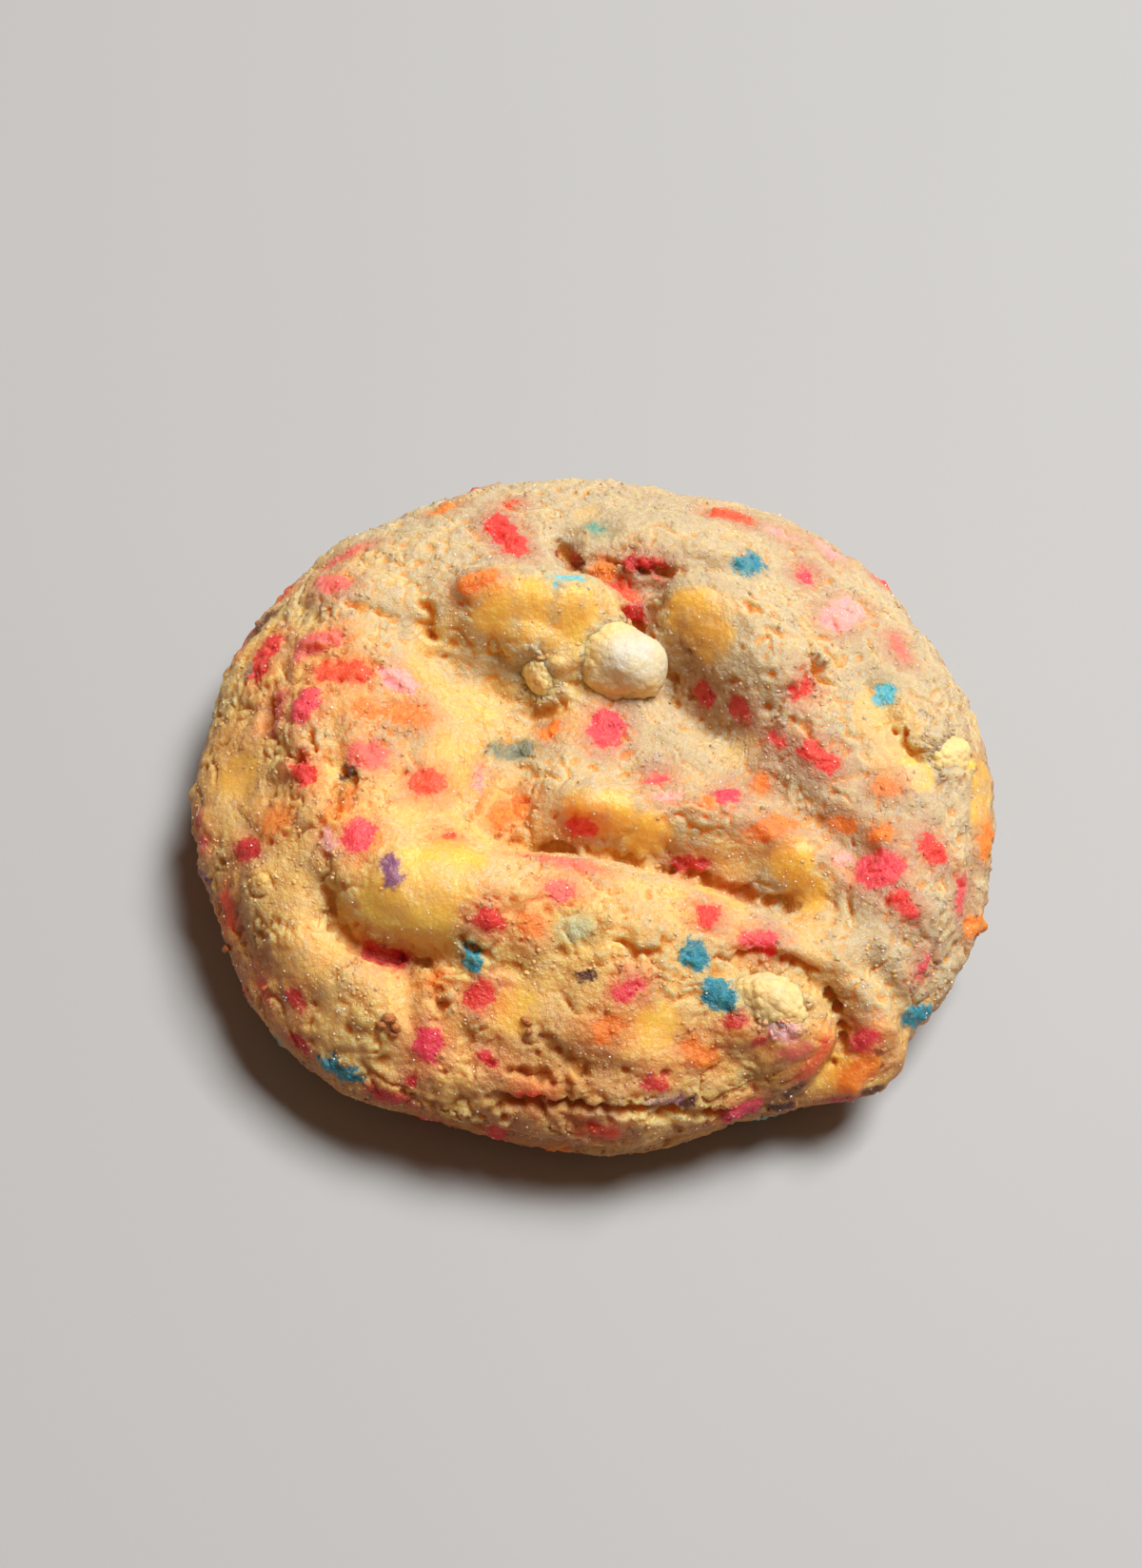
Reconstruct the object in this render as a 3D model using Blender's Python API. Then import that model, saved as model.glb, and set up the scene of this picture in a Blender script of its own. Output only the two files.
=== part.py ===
"""A thick, soft sugar cookie with rainbow sprinkles baked into it and four white chocolate chips.

The dough is one solid: a flattened round with an uneven outline, shaped by folds, a sunken middle and
creases, with the sprinkles fused into its skin. Each chip is a solid of its own, seated in a socket of
the dough. The origin is the middle of the flat base, +Z is up and +X runs along the widest way.
"""

import math
import random

import bmesh
import bpy
import numpy as np
from mathutils import Matrix, Vector, noise
from mathutils.bvhtree import BVHTree

MM = 0.001  # the lengths below are millimetres, and the scene is in metres

# Driving dimensions of the dough
WIDEST_HEIGHT = 9.0  # height of the widest level above the base
DOME_HEIGHT = 21.5  # top of the plain dome, before folds are added
DOME_SQUARENESS = 2.7  # 2 is a round dome, more is flatter on top with a tighter shoulder
DOME_SHOULDER = 0.58
BASE_SHARE = 0.84  # flat base's radius over the widest radius
UNDERSIDE_WEIGHT = 0.25  # how densely the underside is meshed, next to the top
OUTLINE_RADII = (  # widest radius every 15 degrees, anticlockwise from +X
    41.8, 41.7, 41.8, 42.5, 42.1, 41.7, 41.2, 41.3, 42.5, 42.9, 43.9, 44.2,
    43.5, 43.5, 42.9, 42.7, 41.0, 38.8, 38.0, 37.5, 36.7, 39.8, 40.4, 41.6,
)
DOUGH_TRIANGLES = 5900

# The sunken middle: its edge in plan, how deep its floor lies and how wide its wall is
BOWL_EDGE = [
    (-24, 12), (-20.5, 8), (-17, 4.5), (-15.5, -1), (-14.5, -7), (-11.5, -11.5), (-5, -12), (2, -11.8),
    (9, -12.8), (16, -14.4), (22, -15.2), (26, -12.5), (25, -7), (21.5, -2), (18, 2.5), (14, 7),
    (9.5, 11.5), (5, 16), (1, 20.5), (-2, 15.5), (-7, 12.5), (-13, 12), (-18, 14),
]
BOWL_DEPTH = 3.8
BOWL_WALL = 3.8
# Rounded folds and mounds raised on the skin: path in plan, half width, height
FOLDS = {
    "front_rim": ([(-30, -4), (-25, -13), (-16, -18), (-7, -18.5), (3, -19), (14, -21)], 10.0, 2.0),
    "left_rim": ([(-27, 20), (-30, 13), (-30, 4), (-27, -6)], 11.0, 2.2),
    "chip_hump": ([(-19, 16), (-14, 17), (-8, 17), (-3, 17.5)], 6.0, 3.0),
    "right_ridge": ([(3, 23.5), (9, 20.5), (14, 16.5), (19, 10)], 8.0, 3.0),
    "tongue": ([(-6, -5), (2, -5.5), (8, -4.5), (15, -5), (20.5, -7), (23, -10)], 5.0, 3.4),
    "back_hump": ([(-3, 30), (3, 29.5), (9, 29)], 6.0, 1.6),
    "round_lobe": ([(-23, -17), (-16, -17.5), (-9, -16.5)], 6.5, 1.3),
    "lower_left_fold": ([(-35, -14), (-31, -21), (-25, -26), (-19, -29)], 5.0, 1.2),
    "flap": ([(14, -25), (19, -25.5), (21, -28)], 6.0, 1.8),
    "outer_flap": ([(29, -22), (31, -26), (28, -31)], 4.5, 1.4),
    "right_rim": ([(24, 23), (29, 13), (32, 3), (31, -8), (29, -16)], 9.0, 1.8),
}
# Hollows in the bowl, deeper than its floor
HOLLOWS = {
    "left_hollow": ([(-19, 10), (-13, 7.5), (-10.5, 3), (-10, -2), (-7.5, -7)], 4.5, 1.6),
    "chip_foot": ([(-9.5, 6), (-7, 5.5)], 3.0, 1.6),
    "right_hollow": ([(4, 13), (8, 8.5), (11, 5.5)], 4.5, 2.0),
}
# Creases where one fold of dough meets the next, sharp at the bottom: path, half width, depth
CREASES = {
    "ridge_foot": ([(-2, 22), (0, 19), (3.7, 14.5), (8, 9.8), (12, 5.7)], 2.8, 2.2),
    "tongue_foot": (
        [(-12, -9), (-8.6, -10.2), (-3.3, -9.6), (2.6, -9.9), (9, -10.9), (16, -12.3), (24, -12)],
        3.2,
        2.4,
    ),
    "back_crack": ([(-8.3, 28), (-7, 23.5), (-3, 22.5), (2.2, 22), (7, 23.5), (12, 24)], 2.2, 2.4),
    "lobe_crack": ([(-27, -18), (-25.7, -20.5), (-23, -23), (-18.5, -24), (-14, -23.8)], 2.4, 2.6),
    "lobe_split": ([(-18.5, -24.5), (-17.5, -28), (-16.7, -30.5)], 2.2, 1.3),
    "flap_edge": (
        [(13, -21.5), (17, -20.7), (22, -20.7), (25, -22.5), (26.7, -25.5), (25.8, -28), (23.8, -30)],
        2.4,
        2.4,
    ),
    "outer_flap_edge": ([(27, -17.5), (30, -19.5), (33, -22.5)], 2.2, 1.4),
    "rim_crack": ([(25, 14), (27.5, 10.5), (29, 6.5), (33, 4.5), (35, 0)], 2.2, 1.6),
    "right_fold": ([(21, -3.5), (25.5, -6), (27, -9.5)], 2.6, 1.4),
    "left_crack": ([(-29, 0), (-27.5, -4.5), (-26.5, -9)], 2.0, 1.2),
    "front_layer": ([(-12, -31.6), (-6, -32), (0, -32.3), (6, -32.6)], 2.6, 0.9),
}
# A seam low on the front flank, where the bottom layer of dough spread: angle in degrees, height
FLANK_SEAM = ([(246, 8.0), (258, 7.5), (270, 7.0), (282, 6.0), (296, 6.5)], 2.4, 1.4)
LUMPS = (11.0, 0.9)  # wavelength and height of the uneven skin
CRUMBS = (3.2, 0.45)  # wavelength and height of the coarse crumb

# White chocolate chips: middle of the chip, half sizes, turn about Z in degrees
CHIPS = {
    "white_chip_centre": ((-0.6, 12.6, 18.2), (5.0, 4.0, 3.9), -20.0),
    "white_chip_left": ((-9.0, 11.0, 17.0), (2.5, 3.4, 3.4), 10.0),
    "white_chip_rim": ((33.8, 7.0, 15.0), (3.8, 3.0, 3.2), 25.0),
    "white_chip_front": ((17.8, -23.6, 17.0), (4.2, 2.9, 3.0), -15.0),
}
CHIP_GAP = 0.3

# Sprinkles on the top: place in plan, heading in plan in degrees, length and width
SPRINKLES = [
    (-32.5, 18.5, -30, 6.5, 2.3), (-38.5, 9.5, 75, 5.5, 2.5), (-32.5, 9.5, 5, 5.5, 2.4),
    (-29, 5.5, -10, 6, 2.4), (-23, 5.5, -35, 8, 2.4), (-32.5, 1.5, 70, 4, 2.8), (-22, 32, 25, 3, 1.5),
    (-14.5, 26.5, -30, 7.5, 2.6), (-17, 17.5, 15, 4.5, 2.4), (-7, 19, 30, 4.5, 1.5),
    (-3.5, 23, -15, 2.5, 2.1), (-1, 21.5, -45, 3.5, 2.3), (0.5, 23, -15, 5, 1.5), (0.5, 18.5, -25, 3, 1.5),
    (8.5, 10.5, 90, 3, 2), (12.5, 8, -50, 3, 1.7), (-1.5, 4.5, 80, 5, 3.2), (-7, 4, 15, 2, 1.8),
    (9.5, 35, -10, 5.5, 2.6), (21, 33, -30, 4.5, 1.5), (18.5, 27, 80, 3.5, 1.4), (23, 22.5, 55, 7.5, 3.3),
    (12, 26, 55, 4.5, 2.3), (27.5, 12, 65, 2, 1.7), (21, 3, -15, 4.5, 2.2), (-25, -4, 10, 4, 2.5),
    (-18.5, -6, 10, 4, 2.5), (-31.5, -6, -55, 4, 1.9), (-24.5, -13.5, 70, 3.5, 2.8),
    (-36, -13.5, 10, 3.5, 2.3), (-20.5, -17.5, -65, 3, 1.6), (-20.5, -23, -20, 5, 2.1),
    (-10, -6, 40, 5, 1.9), (-2.5, -8, 35, 3, 2.1), (-4, -17, 15, 3, 1.9), (-10.5, -21, 45, 2.5, 2.3),
    (-6.5, -21, -10, 2, 1.7), (5.5, -4, 10, 2.5, 1.4), (9, -9.5, 5, 3.5, 1.5), (11, -17, 45, 2.5, 1.6),
    (12, -2, 60, 4, 1.8), (15.5, 0.5, 0, 1.5, 1.5), (28, 1, 10, 2.5, 1.4), (28, -5, 10, 3, 1.8),
    (34, -5, -25, 3.5, 2.4), (27.5, -8.5, 5, 5, 3.7), (37, -8, 85, 3.5, 1.4), (31, -12, -40, 3.5, 1.6),
    (16.5, -19, -30, 4.5, 2), (-29, -28, -60, 2, 1.4), (-15, -32, 85, 3.5, 2.5), (-11.5, -24, 80, 2.5, 1.8),
    (-10.5, -27, 45, 3, 2.3), (2.5, -29.5, 35, 3, 1.9), (4, -25.5, 40, 3, 1.6), (8, -33, -15, 2.5, 1.5),
    (11.5, -30, -20, 3.5, 2.1), (10, -21.5, -35, 3, 2.4), (13, -24.5, -50, 4, 2.5),
    (14.5, -26.5, -5, 2, 1.6), (20, -27, 10, 3, 1.7), (28, -25, 50, 2.5, 1.9),
]
# Sprinkles on the flank: angle round the cookie, height, slope in degrees, length and width
FLANK_SPRINKLES = [
    (207, 11.5, 155, 6, 1.6), (235, 10.5, 5, 4.5, 1.6), (274, 10.5, 10, 4, 1.5), (297, 9.5, 145, 4.5, 1.9),
]
# The rest lie scattered round the flank, a golden angle apart
SCATTERED = 40
SCATTER_HEIGHTS = (3.0, 12.5)
SCATTER_SIZES = ((2.4, 5.2), (1.6, 2.4))  # shortest and longest, narrowest and widest
SPRINKLE_SUNK = 0.35  # share of the width by which a sprinkle's axis lies below the skin
SEED = 7


def fresh_scene():
    for obj in list(bpy.data.objects):
        bpy.data.objects.remove(obj)
    for name in ("sprinkle_sugar_cookie", "cutters"):
        bpy.context.scene.collection.children.link(bpy.data.collections.new(name))


def principled(name, colour, roughness):
    material = bpy.data.materials.new(name)
    material.use_nodes = True
    shader = material.node_tree.nodes["Principled BSDF"]
    shader.inputs["Base Color"].default_value = (*colour, 1.0)
    shader.inputs["Roughness"].default_value = roughness
    shader.inputs["Metallic"].default_value = 0.0
    return material


def smooth_path(points, steps=6):
    """A Catmull-Rom curve through the points."""
    points = np.array(points, float)
    padded = np.vstack([2 * points[0] - points[1], points, 2 * points[-1] - points[-2]])
    t = np.arange(steps)[:, None] / steps
    stretches = [spline_stretch(*padded[i : i + 4], t) for i in range(len(points) - 1)]
    return np.vstack([*stretches, points[-1]])


def spline_stretch(a, b, c, d, t):
    return 0.5 * (2 * b + (c - a) * t + (2 * a - 5 * b + 4 * c - d) * t**2 + (3 * b - a - 3 * c + d) * t**3)


def outline_radius(angle):
    """Widest radius in the direction of the angle, in radians."""
    radii = np.array(OUTLINE_RADII)
    place = (np.asarray(angle) % (2 * math.pi)) / (2 * math.pi) * len(radii)
    i = np.floor(place).astype(int)
    corners = [radii[(i + k) % len(radii)] for k in (-1, 0, 1, 2)]
    return spline_stretch(*corners, place - i)


def dome_height(share):
    """Height of the plain dome at a share of the widest radius."""
    share = np.clip(share, 0, 1)
    return WIDEST_HEIGHT + (DOME_HEIGHT - WIDEST_HEIGHT) * (1 - share**DOME_SQUARENESS) ** DOME_SHOULDER


def profile():
    """Radius share and height along the cookie's section, from the middle of the base up to the top."""
    turn = np.linspace(0, math.pi / 2, 40)
    base = np.linspace(0, BASE_SHARE, 30)[:-1]
    flank = BASE_SHARE + (1 - BASE_SHARE) * np.sin(turn) ** 0.9
    over = np.cos(turn)[1:] ** 0.8
    share = np.concatenate([base, flank, over])
    height = np.concatenate([0 * base, WIDEST_HEIGHT * (1 - np.cos(turn)), dome_height(over)])
    return share, height


def skin_point(x, y):
    """The point of the plain dome above (x, y)."""
    share = np.hypot(x, y) / outline_radius(np.arctan2(y, x))
    return np.array([x, y, float(dome_height(share))])


def flank_point(degrees, height):
    """The point of the plain flank at an angle and a height, under the widest level."""
    angle = math.radians(degrees)
    turn = math.acos(1 - min(height, WIDEST_HEIGHT) / WIDEST_HEIGHT)
    radius = float(outline_radius(angle)) * (BASE_SHARE + (1 - BASE_SHARE) * math.sin(turn) ** 0.9)
    return np.array([radius * math.cos(angle), radius * math.sin(angle), height])


def distance_to_path(points, path):
    """Each point's distance to the path, and how far along it the nearest place is, from 0 to 1."""
    nearest, along = np.full(len(points), np.inf), np.zeros(len(points))
    runs = np.linalg.norm(np.diff(path, axis=0), axis=1)
    starts = np.concatenate([[0], np.cumsum(runs)])
    for i, run in enumerate(runs):
        way = (path[i + 1] - path[i]) / run
        t = np.clip((points - path[i]) @ way, 0, run)
        gap = np.linalg.norm(points - path[i] - t[:, None] * way, axis=1)
        closer = gap < nearest
        nearest[closer] = gap[closer]
        along[closer] = (starts[i] + t[closer]) / starts[-1]
    return nearest, along


def inside_edge(points, edge):
    """Whether each point lies within the closed edge, seen in plan."""
    within = np.zeros(len(points), bool)
    for (x0, y0), (x1, y1) in zip(edge, np.roll(edge, -1, axis=0)):
        crosses = (y0 > points[:, 1]) != (y1 > points[:, 1])
        if y0 != y1:
            reach = x0 + (points[:, 1] - y0) * (x1 - x0) / (y1 - y0)
            within ^= crosses & (points[:, 0] < reach)
    return within


def bowl(points):
    """The sunken middle, with an uneven edge and a rounded wall."""
    edge = smooth_path(BOWL_EDGE + BOWL_EDGE[:1])
    plan = points[:, :2]
    gap = distance_to_path(plan, edge)[0]
    signed = np.where(inside_edge(plan, edge[:-1]), gap, -gap)
    t = np.clip(0.5 + signed / (2 * BOWL_WALL), 0, 1)
    return BOWL_DEPTH * t * t * (3 - 2 * t) * (points[:, 2] > WIDEST_HEIGHT)


def relief(points):
    """How far the skin stands out from the plain form at each point."""
    height = -bowl(points)
    for table, sign, shape in (
        (FOLDS, 1, lambda t: (1 - t**2) ** 2),
        (HOLLOWS, -1, lambda t: (1 - t**2) ** 2),
        (CREASES, -1, lambda t: (1 - t) ** 1.4),
    ):
        for route, half_width, amount in table.values():
            path = smooth_path([skin_point(x, y) for x, y in route])
            height += sign * amount * swell(points, path, half_width, shape)
    route, half_width, depth = FLANK_SEAM
    seam = smooth_path([flank_point(angle, z) for angle, z in route])
    height -= depth * swell(points, seam, half_width, lambda t: (1 - t) ** 1.4)
    return height


def swell(points, path, half_width, shape):
    gap, along = distance_to_path(points, path)
    ends = np.clip(np.minimum(along, 1 - along) / 0.12, 0, 1)
    return shape(np.clip(gap / half_width, 0, 1)) * (0.45 + 0.55 * ends)


def uneven(points):
    """Lumps and coarse crumb, from two scales of noise."""
    lumps, crumbs = [], []
    for x, y, z in points:
        lumps.append(noise.noise(Vector((x, y, z)) / LUMPS[0]))
        crumbs.append(noise.noise(Vector((x + 40, y, z)) / CRUMBS[0]))
    return LUMPS[1] * np.array(lumps) + CRUMBS[1] * np.array(crumbs)


def new_object(name, bm, material, collection):
    mesh = bpy.data.meshes.new(name)
    bm.to_mesh(mesh)
    bm.free()
    mesh.materials.append(material)
    obj = bpy.data.objects.new(name, mesh)
    bpy.data.collections[collection].objects.link(obj)
    return obj


def apply_modifier(obj, kind, **settings):
    modifier = obj.modifiers.new(kind.lower(), kind)
    for key, value in settings.items():
        setattr(modifier, key, value)
    graph = bpy.context.evaluated_depsgraph_get()
    mesh = bpy.data.meshes.new_from_object(obj.evaluated_get(graph))
    obj.modifiers.clear()
    obj.data = mesh


def coordinates(mesh):
    points = np.empty(len(mesh.vertices) * 3)
    mesh.vertices.foreach_get("co", points)
    return points.reshape(-1, 3)


def set_coordinates(mesh, points):
    mesh.vertices.foreach_set("co", np.asarray(points, np.float32).ravel())
    mesh.update()


def form_dough(material):
    """The dough: a fine sphere drawn into the cookie's section, given its relief, then thinned."""
    bm = bmesh.new()
    bmesh.ops.create_icosphere(bm, subdivisions=7, radius=1.0)
    dough = new_object("dough", bm, material, "sprinkle_sugar_cookie")

    share, height = profile()
    radius = share * np.mean(OUTLINE_RADII)
    steps = np.hypot(np.diff(radius), np.diff(height))
    middle = (radius[1:] + radius[:-1]) / 2
    weight = np.where(height[1:] < 0.01, UNDERSIDE_WEIGHT, 1.0)
    reach = np.concatenate([[0], np.cumsum(steps * middle * weight)])

    ball = coordinates(dough.data)
    place = (1 + np.clip(ball[:, 2], -1, 1)) / 2 * reach[-1]
    angle = np.arctan2(ball[:, 1], ball[:, 0])
    from_axis = np.interp(place, reach, share) * outline_radius(angle)
    plain = np.stack(
        [from_axis * np.cos(angle), from_axis * np.sin(angle), np.interp(place, reach, height)], axis=1
    )
    set_coordinates(dough.data, plain)

    normals = np.empty(len(plain) * 3)
    dough.data.vertices.foreach_get("normal", normals)
    above_base = np.clip(plain[:, 2] / 4.0, 0, 1) ** 0.7
    shaped = plain + normals.reshape(-1, 3) * ((relief(plain) + uneven(plain)) * above_base)[:, None]
    shaped[:, 2] = np.where(plain[:, 2] < 0.01, 0.0, np.maximum(shaped[:, 2], 0.0))
    set_coordinates(dough.data, shaped)
    apply_modifier(dough, "DECIMATE", ratio=DOUGH_TRIANGLES / len(dough.data.polygons))
    return dough


def form_chip(name, middle, half_sizes, turn, material, collection, grown=0.0):
    """A softened chip: an ellipsoid with a low point on top, where the chip had its tip."""
    bm = bmesh.new()
    bmesh.ops.create_uvsphere(bm, u_segments=16, v_segments=10, radius=1.0)
    for vert in bm.verts:
        x, y, z = vert.co
        drawn_in = 1 - 0.16 * max(z, 0) ** 2
        vert.co = Vector((x * drawn_in, y * drawn_in, z))
        vert.co *= 1 + 0.06 * noise.noise(vert.co * 1.3 + Vector(middle))
    sizes = [half + grown for half in half_sizes]
    place = Matrix.Translation(middle) @ Matrix.Rotation(math.radians(turn), 4, "Z")
    bm.transform(place @ Matrix.Diagonal((*sizes, 1)))
    return new_object(name, bm, material, collection)


def scattered_places():
    """Sprinkles strewn round the flank by a seeded rule, clear of the ones that are placed by name."""
    draw = random.Random(SEED)
    flank = list(FLANK_SPRINKLES)
    for i in range(SCATTERED):
        angle = (i * 137.5 + draw.uniform(-8, 8)) % 360
        height = draw.uniform(*SCATTER_HEIGHTS)
        sizes = [draw.uniform(*limits) for limits in SCATTER_SIZES]
        slope = draw.uniform(0, 180)
        if all(math.hypot(0.7 * turn_between(angle, other[0]), height - other[1]) > 4.5 for other in flank):
            flank.append((angle, height, slope, *sizes))
    return flank


def turn_between(a, b):
    return (a - b + 180) % 360 - 180


def sprinkle_places():
    """Every sprinkle as a point near the skin, the way it heads, its length and its width."""
    places = []
    for x, y, heading, length, width in SPRINKLES:
        turn = math.radians(heading)
        places.append((skin_point(x, y), (math.cos(turn), math.sin(turn), 0.0), length, width))
    for angle, height, slope, length, width in scattered_places():
        turn, rise = math.radians(angle), math.radians(slope)
        along = (-math.sin(turn) * math.cos(rise), math.cos(turn) * math.cos(rise), math.sin(rise))
        places.append((flank_point(angle, height), along, length, width))
    return places


def form_sprinkle(index, place, skin, material):
    """One short rod of six sides with pointed ends, half sunk in the skin and lying along it."""
    near, heading, length, width = place
    where, normal = skin.find_nearest(Vector(near))[:2]
    above, slant = skin.ray_cast(Vector((near[0], near[1], 60.0)), Vector((0, 0, -1)))[:2]
    if above and slant.z > 0.5 and near[2] > WIDEST_HEIGHT:
        where, normal = above, slant
    radius = width / 2
    reach = length / 2
    bm = bmesh.new()
    bmesh.ops.create_uvsphere(bm, u_segments=6, v_segments=3, radius=radius)
    for vert in bm.verts:
        side = math.copysign(1, vert.co.z)
        at_tip = abs(vert.co.z) > 0.9 * radius
        vert.co.z = side * (reach if at_tip else max(reach - 0.7 * radius, 0.3 * radius))
        if not at_tip:
            vert.co.xy *= radius / max(vert.co.xy.length, 1e-6)
    along = Vector(heading) - normal * normal.dot(Vector(heading))
    along.normalize()
    frame = Matrix((normal.cross(along), normal, along)).transposed().to_4x4()
    sunk = where - normal * (SPRINKLE_SUNK * width)
    bm.transform(Matrix.Translation(sunk) @ frame)
    return new_object(f"sprinkle_{index:03d}", bm, material, "cutters")


def join(dough, others, operation, solver="EXACT"):
    """One Boolean on a collection of the others, applied, and the others removed."""
    group = bpy.data.collections.new("group")
    for other in others:
        group.objects.link(other)
    how = {"operation": operation, "operand_type": "COLLECTION", "solver": solver}
    apply_modifier(dough, "BOOLEAN", collection=group, **how)
    for other in others:
        bpy.data.objects.remove(other)
    bpy.data.collections.remove(group)


def settle(objects):
    """Centres the cookie on its box, flattens its base, and turns millimetres into metres."""
    dough = objects[0]
    points = coordinates(dough.data)
    low, high = points.min(axis=0), points.max(axis=0)
    shift = np.array([-(low[0] + high[0]) / 2, -(low[1] + high[1]) / 2, -low[2]])
    for obj in objects:
        set_coordinates(obj.data, (coordinates(obj.data) + shift) * MM)
    points = coordinates(dough.data)
    points[points[:, 2] < 0.05 * MM, 2] = 0.0
    set_coordinates(dough.data, points)
    bm = bmesh.new()
    bm.from_mesh(dough.data)
    flat = [f for f in bm.faces if all(v.co.z < 1e-6 for v in f.verts)]
    bmesh.ops.dissolve_faces(bm, faces=flat)
    bm.to_mesh(dough.data)
    bm.free()
    return shift


def main():
    fresh_scene()
    baked_dough = principled("baked_dough", (0.83, 0.60, 0.28), 0.75)
    white_chocolate = principled("white_chocolate", (0.93, 0.86, 0.66), 0.45)

    dough = form_dough(baked_dough)
    skin = BVHTree.FromObject(dough, bpy.context.evaluated_depsgraph_get())
    sprinkles = [form_sprinkle(i, place, skin, baked_dough) for i, place in enumerate(sprinkle_places())]
    join(dough, sprinkles, "UNION")
    sockets = [
        form_chip(name + "_socket", *sizes, white_chocolate, "cutters", grown=CHIP_GAP)
        for name, sizes in CHIPS.items()
    ]
    join(dough, sockets, "DIFFERENCE")
    chips = [
        form_chip(name, *sizes, white_chocolate, "sprinkle_sugar_cookie") for name, sizes in CHIPS.items()
    ]
    settle([dough, *chips])
    for chip in chips:
        chip.data.shade_smooth()


main()
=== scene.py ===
import math
import random

import bpy
import numpy as np
from mathutils import Matrix, Vector, noise
from mathutils.bvhtree import BVHTree


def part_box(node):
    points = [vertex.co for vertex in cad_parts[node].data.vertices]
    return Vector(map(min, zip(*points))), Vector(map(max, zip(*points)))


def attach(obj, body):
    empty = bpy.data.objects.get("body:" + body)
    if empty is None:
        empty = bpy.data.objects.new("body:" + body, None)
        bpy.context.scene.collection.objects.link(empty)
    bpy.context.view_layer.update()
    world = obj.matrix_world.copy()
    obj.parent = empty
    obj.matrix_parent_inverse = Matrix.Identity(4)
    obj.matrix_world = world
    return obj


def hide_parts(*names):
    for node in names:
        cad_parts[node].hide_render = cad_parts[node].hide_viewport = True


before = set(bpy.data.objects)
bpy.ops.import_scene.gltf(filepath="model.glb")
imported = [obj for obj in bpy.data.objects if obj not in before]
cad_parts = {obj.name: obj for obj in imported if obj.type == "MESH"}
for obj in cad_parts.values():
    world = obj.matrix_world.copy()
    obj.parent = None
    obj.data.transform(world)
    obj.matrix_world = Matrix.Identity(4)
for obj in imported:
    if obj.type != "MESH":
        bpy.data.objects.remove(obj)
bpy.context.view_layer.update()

mm = 0.001
skinCentre = (1.16, -1.80)  # middle of the dough's own plan, in mm

# Camera first: looking down on the cookie from the front, turned a little

cameraView = {
    "place": (-0.00298, -0.11849, 0.23452),
    "down": 62.2,  # degrees below the horizon
    "turn": 7.2,
    "lens": 54.61,
}


def addCamera():
    down, turn = math.radians(cameraView["down"]), math.radians(cameraView["turn"])
    forward = Vector((0, math.cos(down), -math.sin(down)))
    drop = Vector((0, -math.sin(down), -math.cos(down)))
    side = Vector((1, 0, 0))
    across = side * math.cos(turn) - drop * math.sin(turn)
    below = side * math.sin(turn) + drop * math.cos(turn)
    data = bpy.data.cameras.new("cookieCamera")
    data.lens = cameraView["lens"]
    data.sensor_width = 36
    data.clip_start = 0.01
    camera = bpy.data.objects.new("cookieCamera", data)
    bpy.context.scene.collection.objects.link(camera)
    turned = Matrix((across, -below, -forward)).transposed().to_4x4()
    camera.matrix_world = Matrix.Translation(cameraView["place"]) @ turned
    bpy.context.scene.camera = camera


addCamera()

# Small helpers


def deselectAll():
    if bpy.context.object and bpy.context.object.mode != "OBJECT":
        bpy.ops.object.mode_set(mode="OBJECT")
    bpy.ops.object.select_all(action="DESELECT")


def pickOnly(obj):
    deselectAll()
    obj.select_set(True)
    bpy.context.view_layer.objects.active = obj


def applyModifier(obj, kind, **settings):
    pickOnly(obj)
    modifier = obj.modifiers.new(kind.lower(), kind)
    for name, value in settings.items():
        setattr(modifier, name, value)
    bpy.ops.object.modifier_apply(modifier=modifier.name)


def copyOfNode(node, name):
    obj = bpy.data.objects.new(name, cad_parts[node].data.copy())
    bpy.context.scene.collection.objects.link(obj)
    obj.data.materials.clear()
    pickOnly(obj)
    bpy.ops.object.mode_set(mode="EDIT")
    bpy.ops.mesh.select_all(action="SELECT")
    bpy.ops.mesh.remove_doubles(threshold=0.000002)
    bpy.ops.object.mode_set(mode="OBJECT")
    return obj


def pointsOf(obj):
    flat = np.empty(len(obj.data.vertices) * 3)
    obj.data.vertices.foreach_get("co", flat)
    return flat.reshape(-1, 3) / mm


def movePoints(obj, points):
    obj.data.vertices.foreach_set("co", (points * mm).astype(np.float32).ravel())
    obj.data.update()


def normalsOf(obj):
    flat = np.empty(len(obj.data.vertices) * 3)
    obj.data.vertices.foreach_get("normal", flat)
    return flat.reshape(-1, 3)


def storeNumbers(obj, name, values):
    layer = obj.data.attributes.new(name, "FLOAT", "POINT")
    layer.data.foreach_set("value", np.asarray(values, np.float32))


def numbersOf(obj, name):
    values = np.empty(len(obj.data.vertices), np.float32)
    obj.data.attributes[name].data.foreach_get("value", values)
    return values.astype(float)


def storeColours(obj, name, colours):
    layer = obj.data.attributes.new(name, "FLOAT_COLOR", "POINT")
    filled = np.ones((len(colours), 4), np.float32)
    filled[:, :3] = colours
    layer.data.foreach_set("color", filled.ravel())


def noiseAt(points, size, shift=0.0):
    offset = Vector((shift, shift * 0.7, shift * 1.3))
    return np.array([noise.noise(Vector(p) / size + offset) for p in points])


def cellsAt(points, size, shift=0.0):
    # distance to the nearest cell's middle, gap to the next cell, and a steady draw for each cell
    offset = Vector((shift, shift * 0.6, shift * 1.7))
    near, gap, draw = [], [], []
    for p in points:
        distances, middles = noise.voronoi(Vector(p) / size + offset)
        near.append(distances[0])
        gap.append(distances[1] - distances[0])
        middle = middles[0]
        draw.append(math.sin(middle.x * 12.99 + middle.y * 78.23 + middle.z * 37.72) * 43758.5 % 1)
    return np.array(near), np.array(gap), np.array(draw)


def smoothStep(values, low, high):
    t = np.clip((values - low) / (high - low), 0, 1)
    return t * t * (3 - 2 * t)


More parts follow.
